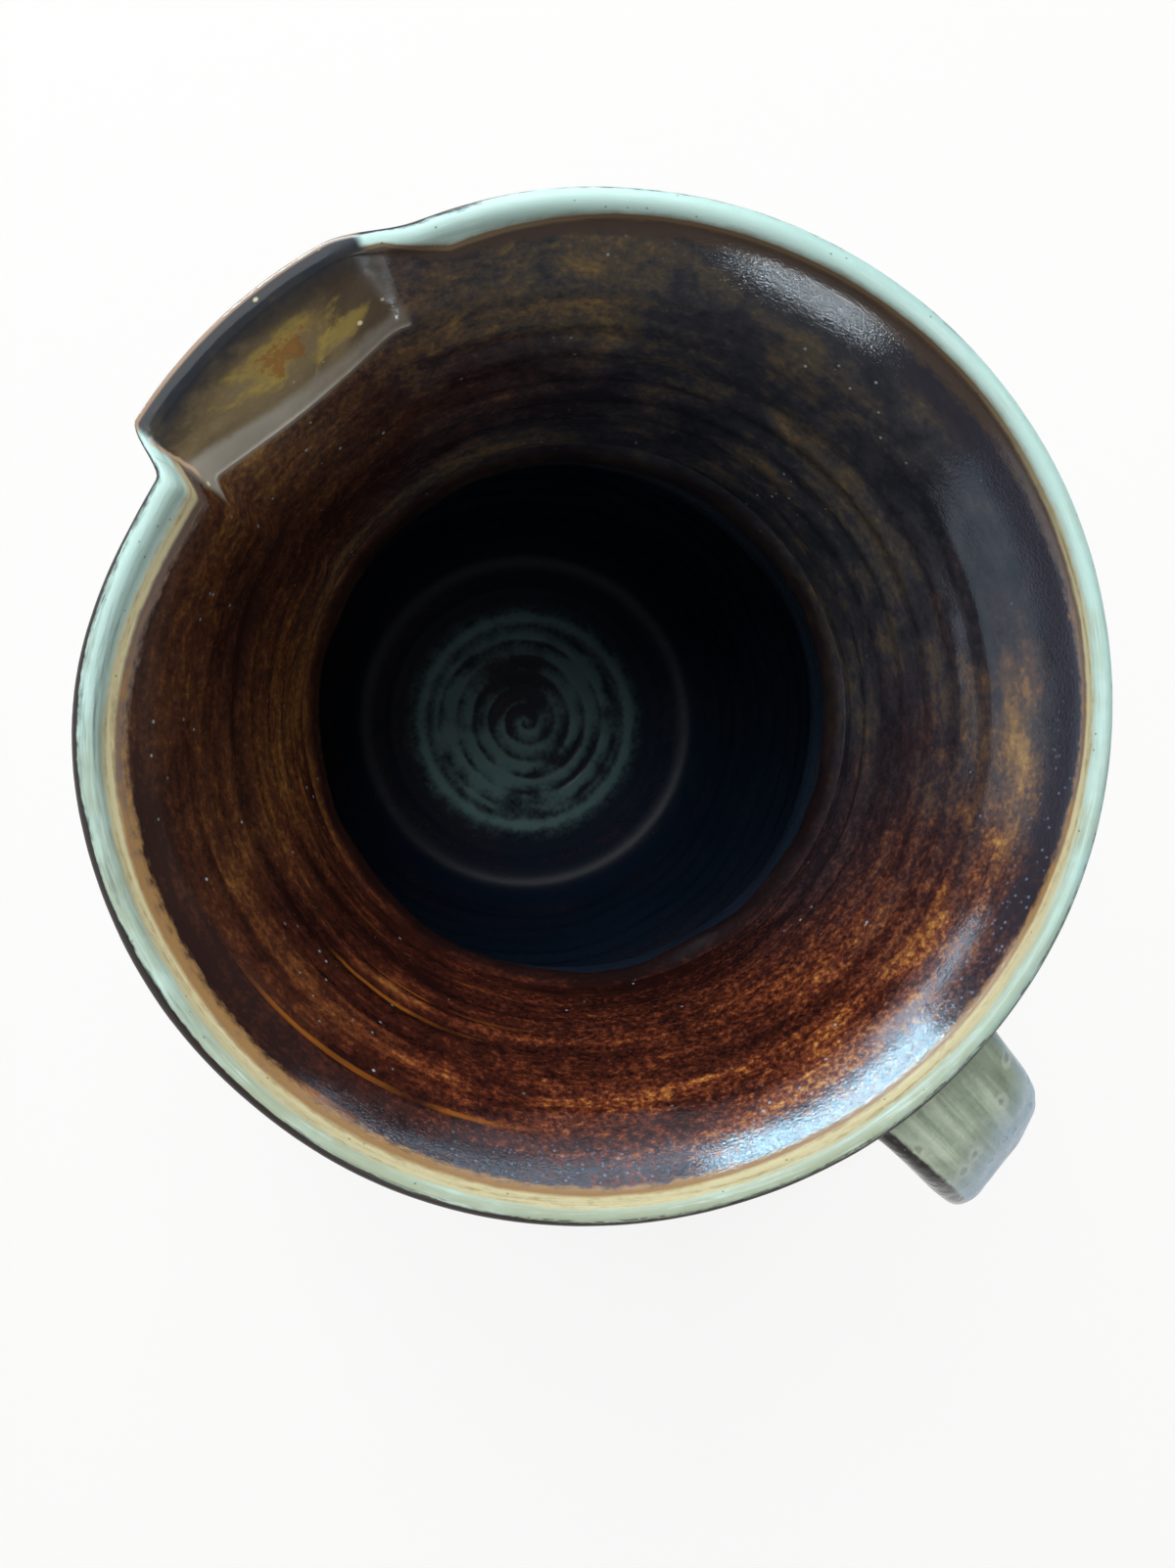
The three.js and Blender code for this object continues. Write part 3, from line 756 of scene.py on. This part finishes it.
def liner_color(g, flow, lowest):
    """Iron glaze inside the mouth: streaks, mottling, pinholes with painted glints, and a warm side
    partly brightened as painted light, an amber side, a cool side partly a painted bluish sheen, and a
    dim side darkened as painted shade.
    """
    bands = g.noise(flow, (0.010, 0.010, 0.17))
    lines = g.noise(flow, (0.030, 0.030, 0.60))
    patches = g.noise(flow, (0.028, 0.028, 0.04), 2, 0.5, 0.8)
    grain = g.noise(flow, (1.0, 1.0, 1.2), 3, 0.65)
    mottle = g.noise(flow, (0.34, 0.34, 0.45), twist=0.5)
    clouds = g.noise(flow, (0.07, 0.07, 0.11), 4, 0.6, 0.6)
    sparse = g.step(g.noise(flow, (0.06,) * 3, roughness=0.55), 0.0, 0.5)
    warm, amber, cool, dim = g.sides(flow, LINER_REACH, WARM_SIDE, AMBER_SIDE, COOL_SIDE, DIM_SIDE)
    stir = g.weigh(g.times(patches, 0.25), (bands, 0.15))
    warm, dim = g.step(warm, 0.25, 1.0), g.step(dim, 0.6, 1.0)
    amber = g.step(g.weigh(amber, (stir, 1.2)), 0.1, 0.9)
    cool = g.step(g.weigh(cool, (stir, 1.0), (lowest, 0.25)), -0.2, 0.95)
    streaks = g.weigh(g.times(bands, 0.24), (lines, 0.13))
    # The tone rises on the warm side near the rim and falls towards the neck, partly painted light on
    # the lit side; it drops on the dim side as painted shade.
    tone = g.weigh(
        0.305,
        (patches, 0.18),
        (mottle, 0.15),
        (streaks, g.weigh(1.0, (cool, -0.6))),
        (clouds, g.weigh(0.07, (cool, 0.2))),
        (grain, g.weigh(0.15, (warm, 0.17), (amber, 0.06), (cool, -0.08))),
        (warm, g.weigh(0.12, (lowest, -0.22))),
        (amber, g.weigh(0.06, (lowest, 0.08))),
        (cool, 0.05),
        (dim, -0.07),
    )
    for middle in OCHRE_PATCHES:
        tone = g.weigh(tone, (g.near(flow, middle, OCHRE_PATCH_SIZE, patches), 0.26))
    groove = g.times(g.step(g.value("ridge"), -0.80, -0.99), g.step(patches, -0.1, 0.5))
    color = g.coat(
        g.ramp(tone, LINER_STOPS, WARM_LINER),
        (g.ramp(tone, LINER_STOPS, AMBER_LINER), amber),
        (g.ramp(tone, LINER_STOPS, COOL_LINER_AND_SHEEN), cool),
        (AMBER, groove, g.step(cool, 0.7, 0.2), 0.55),
        # Pinholes, tinted pale blue as painted glints.
        (PINHOLE_GLINT_BLUE, g.specks(flow, 0.55, 0.20, 0.22), sparse, 0.75),
    )
    return color, grain


def outside_color(g, flow):
    """Olive-grey ash glaze that breaks to iron brown on the ridges."""
    cloud = g.noise(flow, (0.02, 0.02, 0.03), twist=0.6)
    runs = g.noise(flow, (0.16, 0.16, 0.012))
    mottle = g.noise(flow, (0.35,) * 3)
    tone = g.weigh(0.42, (cloud, 0.16), (runs, 0.07), (mottle, 0.08))
    break_at = g.weigh(g.value("ridge"), (mottle, 0.35), (cloud, 0.5))
    return g.coat(
        g.ramp(tone, SATIN_STOPS, (OLIVE_DEEP, OLIVE, OLIVE_PALE)),
        (IRON_BREAK, g.step(break_at, 0.45, 1.5), 0.65),
        (IRON_LINE, g.specks(flow, 0.4, 0.16, 0.3), 0.8),
    )


def rim_color(g, flow, band, inside, outside):
    """Bands in from the rim's outer edge: iron line, celadon, cream, ochre and then the liner."""
    wobble = g.noise(flow, (0.09,) * 3)
    fine = g.noise(flow, (0.5, 0.5, 1.2))
    lengthwise = g.noise(flow, (0.05, 0.05, 1.3), 4, 0.65)
    smears = g.noise(flow, (0.07, 0.07, 1.0), 4, 0.65)
    left, below, glare, right = g.sides(flow, RIM_REACH, LEFT_SIDE, LOWER_SIDE, GLARE_SIDE, NAVY_SIDE)
    at = g.weigh(band, (wobble, 0.09), (fine, 0.04))
    pale = g.coat(
        CELADON,
        (CELADON_GREY, g.step(g.weigh(below, (lengthwise, 0.8), (wobble, 0.4)), -0.6, 1.1)),
        (CELADON_PALE, g.step(g.weigh(lengthwise, (wobble, -0.5)), 0.1, 0.9), 0.6),
        (CELADON_SHADE, g.step(at, 0.7, 0.0), g.step(right, 0.2, 0.8), 0.7),
        (SMEAR_GREY, g.step(smears, -0.1, 1.0), g.step(left, 0.6, 0.95), 0.75),
    )
    cream = g.coat(
        CREAM,
        (CREAM_DEEP, g.step(g.weigh(lengthwise, (fine, 0.5)), -0.2, 1.0)),
        (OCHRE_BROWN, g.step(below, -0.2, -0.8)),
    )
    # The bevel's mauve: pooled glaze with a painted sky reflection, browner away from the lower side.
    bevel = g.coat(BEVEL_MAUVE_AND_SHEEN, (BEVEL_BROWN, g.step(below, -0.1, -0.6)))
    bevelled = g.weigh(lengthwise, (fine, 0.6), (below, -1.7))
    ochre = g.coat(OCHRE_EDGE, (bevel, g.step(bevelled, -0.9, 0.5)))
    mottled = g.step(g.weigh(fine, (wobble, 0.8)), -0.3, 0.7)
    # Mottled navy near the rim, on the side facing the window and on the navy side: painted dark
    # reflection.
    glare_navy = g.times(mottled, g.step(at, 12.0, 4.0), g.step(glare, 0.2, 0.8), 0.75)
    shore = g.step(g.weigh(at, (wobble, 1.5), (fine, 0.8)), 9.5, 5.5)
    right_navy = g.times(shore, g.step(right, 0.3, 0.8), 0.85)
    liner = g.coat(inside, (NAVY_REFLECTION, g.math("MAXIMUM", glare_navy, right_navy)))
    edge = g.weigh(at, (fine, 0.04), (lengthwise, 0.10))
    dashes = g.times(g.step(at, 0.0, 0.05), g.step(at, 0.22, 0.14))
    broken = g.step(g.weigh(fine, (wobble, 1.0)), -0.2, 0.4)
    # Blue specks below the rim on the side facing the window: painted glints.
    sparks = g.times(g.specks(flow, 1.0, 0.34, 0.4), g.step(at, 13.0, 4.0), g.step(at, 3.0, 4.0))
    pits = g.times(g.specks(flow, 0.55, 0.15, 0.3), g.step(at, 2.4, 2.0), g.step(at, -0.1, 0.1))
    return g.coat(
        outside,
        (IRON_LINE, g.step(band, -2.0, -1.2)),
        (pale, g.step(edge, -0.10, 0.10)),
        (IRON_LINE, dashes, broken, g.step(glare, 0.3, 0.8), 0.7),
        (cream, g.step(at, 0.75, 1.2)),
        (ochre, g.step(at, 1.75, 2.2)),
        (liner, g.step(g.weigh(at, (fine, 0.35)), 2.5, 3.4)),
        (GLINT_BLUE, sparks, g.step(glare, 0.3, 0.9), 0.5),
        (IRON_BREAK, pits, 0.55),
    )


def skin_bump(g, flow, grain, calm=0.0):
    """Orange-peel skin of a glaze; calm, from 0 to 1, flattens it."""
    rest = g.math("SUBTRACT", 1.0, calm)
    peel = g.times(g.noise(flow, (1.5, 1.5, 3.2), 2, 0.5), rest)
    return g.bump(peel, PEEL_DEPTH, g.bump(g.times(grain, rest), GRAIN_DEPTH))


def collar_glaze(name):
    """Iron glaze inside, banded rim, pooled lip and olive outside; matt on the rim."""
    g = Glaze(name)
    flow = g.value("flow", "Vector")
    crest, inset, band, beyond = (g.value(key) for key in ("crest", "inset", "band", "beyond"))
    inside, grain = liner_color(g, flow, g.step(crest, 30, 52))
    color = rim_color(g, flow, band, inside, outside_color(g, flow))
    color, lip = lip_color(g, flow, inset, beyond, color)
    matt = g.times(g.step(band, 2.6, 1.8), g.step(lip, 0.6, 0.2))
    side = g.node("SeparateXYZ", {0: flow}).outputs[1]
    corner = g.times(g.step(beyond, -6, -3), g.step(beyond, 6, 3), g.step(side, -8, -12))
    corner = g.times(corner, g.step(inset, 12, 9))
    rough = g.weigh(0.125, (grain, 0.06), (lip, -0.02), (matt, 0.28), (corner, 0.22))
    rough = g.math("MAXIMUM", rough, 0.08)
    return g.finish(color, rough, skin_bump(g, flow, grain, g.times(lip, 0.7)), COLLAR_GLOSS)


def patch(g, u, v, middle, size, wobble):
    """About 1 in the middle of an oval patch on the lip, with a cloudy edge."""
    du, dv = (
        g.math("DIVIDE", g.math("SUBTRACT", at, m), s) for at, m, s in zip((u, v), middle, size)
    )
    return g.step(g.weigh(g.times(du, du), (dv, dv), (wobble, 0.6)), 1.5, 0.1)


def lip_color(g, flow, inset, beyond, around):
    """The lip's pooled glaze laid over the colour around it, and where the lip is."""
    parts = g.node("SeparateXYZ", {0: flow}).outputs
    u, v = g.math("SUBTRACT", parts[0], LIP_CREASE), parts[1]
    cloud = g.noise(flow, (0.12, 0.05, 0.0), 4, 0.6, 0.8)
    fleck = g.noise(flow, (0.55, 0.25, 0.0), 4, 0.7)
    wobble = g.weigh(cloud, (fleck, 0.5))
    # A grey band along the crease, paler towards one end: painted sky reflection on the lip's face.
    by_crease = g.step(g.weigh(u, (wobble, 0.8), (v, -0.06)), 2.8, 1.1)
    paler = g.weigh(0.45, (g.step(v, -6.0, 10.0), 0.30), (cloud, 0.2))
    by_edge = g.step(g.weigh(inset, (cloud, 2.0), (fleck, 1.0)), 8.0, 1.0)
    pooled = g.coat(
        LIP_BROWN,
        (LIP_OLIVE, g.step(wobble, -0.5, 1.0)),
        (LIP_SHADE, g.step(g.weigh(v, (cloud, 3.0)), -4.0, -11.0), 0.75),
        (LIP_OCHRE, patch(g, u, v, (5.6, 3.5), (3.2, 11.0), g.times(wobble, 2.5)), 0.75),
        (LIP_OCHRE, patch(g, u, v, (3.8, -7.6), (1.2, 5.0), g.times(fleck, 1.5)), 0.5),
        (LIP_RED, patch(g, u, v, (6.2, 1.0), (1.5, 4.5), g.times(fleck, 5.0)), 0.6),
        (LIP_GREY_SHEEN, by_crease, paler),
        (LIP_NAVY, by_edge, 0.9),
        (CREAM, g.specks(flow, 0.3, 0.16, 0.2), 0.8),
        # A pale line along the lip's outer edge: pale glaze with a painted highlight on the thin edge.
        (LIP_OUTLINE, g.step(inset, 0.7, 0.3), 0.7),
    )
    edge = g.weigh(beyond, (inset, -0.1), (cloud, 0.4))
    lip = g.times(g.value("lip"), g.step(edge, -0.6, -2.0), g.step(inset, -0.6, -0.2))
    off_crack = g.math("ABSOLUTE", g.weigh(1.0, (beyond, 1.0), (cloud, 0.4)))
    crack = g.times(g.step(off_crack, 0.35, 0.1), g.step(v, 0.0, 1.0))
    crack = g.times(crack, g.step(inset, 1.0, 3.0), g.step(inset, 10.5, 9.5))
    return g.coat(around, (pooled, lip), (LIP_OUTLINE, crack, 0.8)), lip


def belly_glaze(name):
    """Olive outside, bare clay at the foot, painted dark navy shade inside and, on the floor, a
    painted pale green reflection of the mouth that follows the spiral.
    """
    g = Glaze(name)
    flow, crest, place = g.value("flow", "Vector"), g.value("crest"), g.place()
    within, without = g.step(crest, -1, 1), g.step(crest, 1, -1)
    inside, grain = liner_color(g, flow, g.step(crest, 56, 66))
    height = g.node("SeparateXYZ", {0: place}).outputs[2]
    shore = g.weigh(height, (g.noise(place, (0.03, 0.03, 0.0)), 2.2))
    bare = g.math("MAXIMUM", g.times(g.step(shore, 9.5, 8.5), without), g.value("bare"))
    clay_tone = g.noise(place, (0.25,) * 3, 4, 0.65)
    clay = g.coat(
        CLAY,
        (CLAY_DARK, g.step(clay_tone, -0.6, 0.8)),
        (IRON_LINE, g.specks(place, 0.6, 0.2, 0.25), 0.8),
    )
    clouds, fleck = (g.noise(place, (by, by, 0.0)) for by in (0.16, 0.7))
    spiral = g.weigh(g.value("ridge"), (clouds, 0.5), (fleck, 0.3))
    # Inside the floor's ring, a disc painted pale green as the reflection of the mouth's opening,
    # following the spiral and lighter towards the left side.
    disc = g.step(g.length(g.stretch(place, (1.0, 1.0, 0.0))), 40.0, 34.5)
    lighter = g.weigh(0.75, (g.facing(flow, LEFT_SIDE, FLOOR_REACH), 0.25))
    color = g.coat(
        outside_color(g, flow),
        (inside, within),
        (IRON_BREAK, g.step(shore, 12.5, 9.5), without, 0.8),
        (clay, bare),
        # The belly's inside, painted dark navy as shade.
        (BELLY_SHADE_NAVY, within, 0.8),
        (FLOOR_GREEN_REFLECTION, within, disc, g.step(spiral, -0.5, 1.3), lighter),
    )
    rough = g.weigh(0.2, (grain, 0.05), (bare, 0.5), (within, 0.1))
    gritty = g.weigh(grain, (g.times(bare, clay_tone), 3.0))
    return g.finish(color, rough, skin_bump(g, flow, gritty, g.times(within, 0.75)), BELLY_GLOSS)


def coil_glaze(name):
    """The liner's glaze, painted darker towards the coil's crest as the shade at the neck's edge, and
    slightly worn on it.
    """
    g = Glaze(name)
    flow, ridge = g.value("flow", "Vector"), g.value("ridge")
    inside, grain = liner_color(g, flow, 1.0)
    worn = g.step(g.noise(flow, (0.15, 0.15, 1.0), roughness=0.55), 0.6, 1.0)
    color = g.coat(
        inside,
        (OLIVE_DEEP, worn, g.step(ridge, 0.85, 1.0), 0.15),
        # Painted shade on the coil, as at the neck's dark edge.
        (COIL_SHADE, g.step(ridge, 0.0, 0.8), 0.85),
    )
    return g.finish(color, g.weigh(0.42, (grain, 0.05)), skin_bump(g, flow, grain), COIL_GLOSS)


def strap_craters(g, strip, streaks):
    """Burst bubbles in some cells of a bent pattern: their pale walls and their dark pits."""
    stir = g.stretch(g.node("TexNoise", {"Vector": strip, "Scale": 0.3}).outputs[1], (2.0,) * 3)
    bent = g.vectors("ADD", strip, stir)
    inputs = {"Vector": g.stretch(bent, (0.21, 0.21, 0.0)), "Scale": 1.0}
    cells = g.node("TexVoronoi", inputs, voronoi_dimensions="2D")
    burst = g.times(g.chosen(cells, 0.4), g.step(streaks, -0.8, 0.0))
    apart = cells.outputs["Distance"]
    wall = g.times(burst, g.step(apart, 0.44, 0.26), g.step(apart, 0.08, 0.24))
    return wall, g.times(burst, g.step(apart, 0.18, 0.06))


def handle_glaze(name):
    """Olive celadon with streaks and craters, a painted blue-grey reflection at the bend and along one
    edge, and dark at the other edge: thin iron glaze with painted shade.
    """
    g = Glaze(name)
    along, across, facing = (g.value(key) for key in ("along", "across", "facing"))
    wide, deep = g.times(across, STRIP_WIDTH), g.times(facing, STRIP_THICKNESS)
    strip = g.node("CombineXYZ", {0: along, 1: wide, 2: deep}).outputs[0]
    streaks = g.noise(strip, (0.025, 0.35, 0.2), twist=0.4)
    cloud = g.noise(strip, (0.07, 0.12, 0.1), twist=0.6)
    mottle = g.noise(g.place(), (0.5,) * 3)
    tone = g.weigh(0.42, (streaks, 0.34), (cloud, 0.18), (mottle, 0.05))
    crater, pit = strap_craters(g, strip, streaks)
    bent = g.step(g.weigh(along, (cloud, 2.0), (across, 3.0)), TIP_ALONG - 20, TIP_ALONG - 4)
    bend = g.times(bent, g.step(along, TIP_ALONG + 34, TIP_ALONG + 12))
    edge = g.weigh(across, (mottle, 0.02), (cloud, 0.03))
    dark = g.step(edge, -0.80, -0.85)
    ends = g.math("MINIMUM", along, g.math("SUBTRACT", float(HANDLE_LENGTH), along))
    color = g.coat(
        g.ramp(tone, SATIN_STOPS, STRAP_GREENS),
        (CRATER_PALE, crater, 0.6),
        (CRATER_DARK, pit, 0.45),
        # Painted blue-grey reflection where the strap bends away, and fainter along one edge.
        (BLUE_GREY_REFLECTION, bend, g.step(facing, 0.0, 0.6), 0.95),
        (BLUE_GREY_REFLECTION, g.step(edge, 0.70, 1.0), 0.5),
        # The other edge: thin iron-dark glaze darkened further as painted shade.
        (STRAP_IRON_AND_SHADE, dark),
        (IRON_BREAK, g.step(g.weigh(ends, (cloud, 1.5)), 7.0, 3.5), 0.7),
    )
    rough = g.weigh(0.28, (mottle, 0.05), (dark, -0.12))
    skin = g.bump(g.weigh(mottle, (crater, 1.5), (pit, -3.0)), CRATER_DEPTH)
    return g.finish(color, rough, skin, STRAP_GLOSS)


def build_pitcher():
    collar, belly, coil = collar_surface(), belly_surface(), coil_surface()
    notched, tongue = collar_faces(collar)
    for name, surface, faces, node, slot, glaze in (
        ("collar_wall", collar, [notched], "collar", "brown_glaze", collar_glaze),
        ("lip_tongue", collar, [tongue], "pouring_lip", "lip_glaze", collar_glaze),
        ("belly_wall", belly, turned_faces(belly.index()), "belly", "olive_glaze", belly_glaze),
        ("coil_bead", coil, [closed_quads(coil.index())], "seam_coil", "dark_glaze", coil_glaze),
    ):
        new_piece(name, surface.points(), faces, node, glaze(slot), surface.values)
    strap = handle_glaze("handle_glaze")
    tail = HANDLE_LENGTH - WAD_LENGTH
    for name, node, start, end in (
        ("lug_root", "handle_lug", 0, LUG_LENGTH),
        ("strap_band", "handle_strap", LUG_LENGTH, tail),
        ("wad_root", "handle_wad", tail, HANDLE_LENGTH),
    ):
        points, values = strap_grid(start, end)
        new_piece(name, points, tube_faces(len(points)), node, strap, values)


# Stage, light and camera, in metres.
FLOOR_SIZE, FLOOR_SINK = 6.0, 0.0003
FLOOR_GLOW = 0.82

# The room: light of ceiling and walls, sines of the elevations between them, and tint.
CEILING, WALLS, WALL_TOP, CEILING_EDGE = 0.45, 0.62, 0.02, 0.20
ROOM_TINT = (1.0, 0.985, 0.96, 1.0)

# Lamps: azimuth and elevation in degrees, distance, size, radiance, tint, and whether it is a card,
# which shows only in reflections. A radiance of 1 shows as white.
LAMPS = (
    ("key", 158, 52, 1.4, (1.2, 1.2), 5.0, (0.97, 0.99, 1.0), False),
    ("window", 160, 25.0, 1.3, (0.72, 0.05), 320.0, (0.48, 0.80, 1.0), True),
    ("glint", 182, 15.5, 1.32, (0.6, 0.05), 80.0, (0.60, 0.82, 1.0), True),
    ("tail", 118, 21.5, 1.32, (1.1, 0.03), 64.0, (0.60, 0.80, 1.0), True),
    ("fill", 302, 26.0, 1.2, (0.36, 0.02), 220.0, (0.80, 0.93, 1.0), True),
    ("sky", 150, 16, 1.36, (2.2, 0.56), 3.2, (0.60, 0.80, 1.0), True),
    ("sky", 238, 16, 1.36, (1.5, 0.56), 3.2, (0.60, 0.80, 1.0), True),
)

CAMERA_PLACE = (-0.01504, -0.01850, 0.38742)
CAMERA_AHEAD = (0.1136, 0.0525, -0.9921)
CAMERA_RIGHT = (0.6603, 0.7421, 0.1149)
FOCAL_PIXELS, IMAGE_HEIGHT, SENSOR, CLIP_START = 1200, 1602, 36.0, 0.01


def build_floor():
    """A pale floor that takes shadows and shows nearly white to the camera and in reflections."""
    bpy.ops.mesh.primitive_plane_add(size=FLOOR_SIZE, location=(0, 0, -FLOOR_SINK))
    floor = bpy.context.object
    floor.name = "floor"
    g = Glaze("pale_floor")
    rays = g.node("LightPath", {}).outputs
    seen = g.math("MAXIMUM", rays["Is Camera Ray"], rays["Is Glossy Ray"])
    seen = g.math("MAXIMUM", seen, rays["Is Transmission Ray"])
    diffuse = g.node("BsdfDiffuse", {"Color": PALE_FLOOR}).outputs[0]
    glow = g.node("Emission", {"Strength": 1.0}).outputs[0]
    mixed = g.node("MixShader", {0: g.times(seen, FLOOR_GLOW), 1: diffuse, 2: glow}).outputs[0]
    g.feed(g.tree.nodes["Material Output"], {"Surface": mixed})
    g.tree.nodes.remove(g.shader)
    floor.data.materials.append(g.block)


def build_world():
    """A room with pale walls and a dimmer ceiling."""
    g = Glaze("studio", bpy.data.worlds, "Background")
    upward = g.node("SeparateXYZ", {0: g.node("TexCoord", {}).outputs["Generated"]}).outputs[2]
    inputs = {0: upward, 1: WALL_TOP, 2: CEILING_EDGE, 3: WALLS, 4: CEILING}
    level = g.node("MapRange", inputs, interpolation_type="SMOOTHSTEP").outputs[0]
    g.feed(g.shader, {"Color": ROOM_TINT, "Strength": level})
    bpy.context.scene.world = g.block


def add_softbox(name, azimuth, elevation, distance, size, radiance, tint, card):
    """A rectangular lamp that faces the middle of the mouth."""
    lamp = bpy.data.lights.new(name, "AREA")
    lamp.shape = "RECTANGLE"
    lamp.size, lamp.size_y = size
    lamp.energy = radiance * pi * size[0] * size[1]
    lamp.color = tint
    holder = bpy.data.objects.new(name, lamp)
    a, e = radians(azimuth), radians(elevation)
    away = Vector((cos(e) * cos(a), cos(e) * sin(a), sin(e)))
    holder.matrix_world = away.to_track_quat("Z", "Y").to_matrix().to_4x4()
    holder.location = Vector((0, 0, HEIGHT * MM)) + away * distance
    holder.visible_camera = False
    holder.visible_diffuse = not card
    bpy.context.scene.collection.objects.link(holder)


def build_camera():
    data = bpy.data.cameras.new("camera")
    data.sensor_width = SENSOR
    data.lens = SENSOR * FOCAL_PIXELS / IMAGE_HEIGHT
    data.clip_start = CLIP_START
    camera = bpy.data.objects.new("camera", data)
    ahead = Vector(CAMERA_AHEAD).normalized()
    right = Vector(CAMERA_RIGHT)
    right = (right - right.dot(ahead) * ahead).normalized()
    turned = Matrix((right, right.cross(ahead), -ahead)).transposed().to_4x4()
    camera.matrix_world = Matrix.Translation(CAMERA_PLACE) @ turned
    bpy.context.scene.collection.objects.link(camera)
    bpy.context.scene.camera = camera


build_pitcher()
build_floor()
build_world()
for lamp in LAMPS:
    add_softbox(*lamp)
build_camera()
bpy.context.scene.view_settings.view_transform = "Standard"
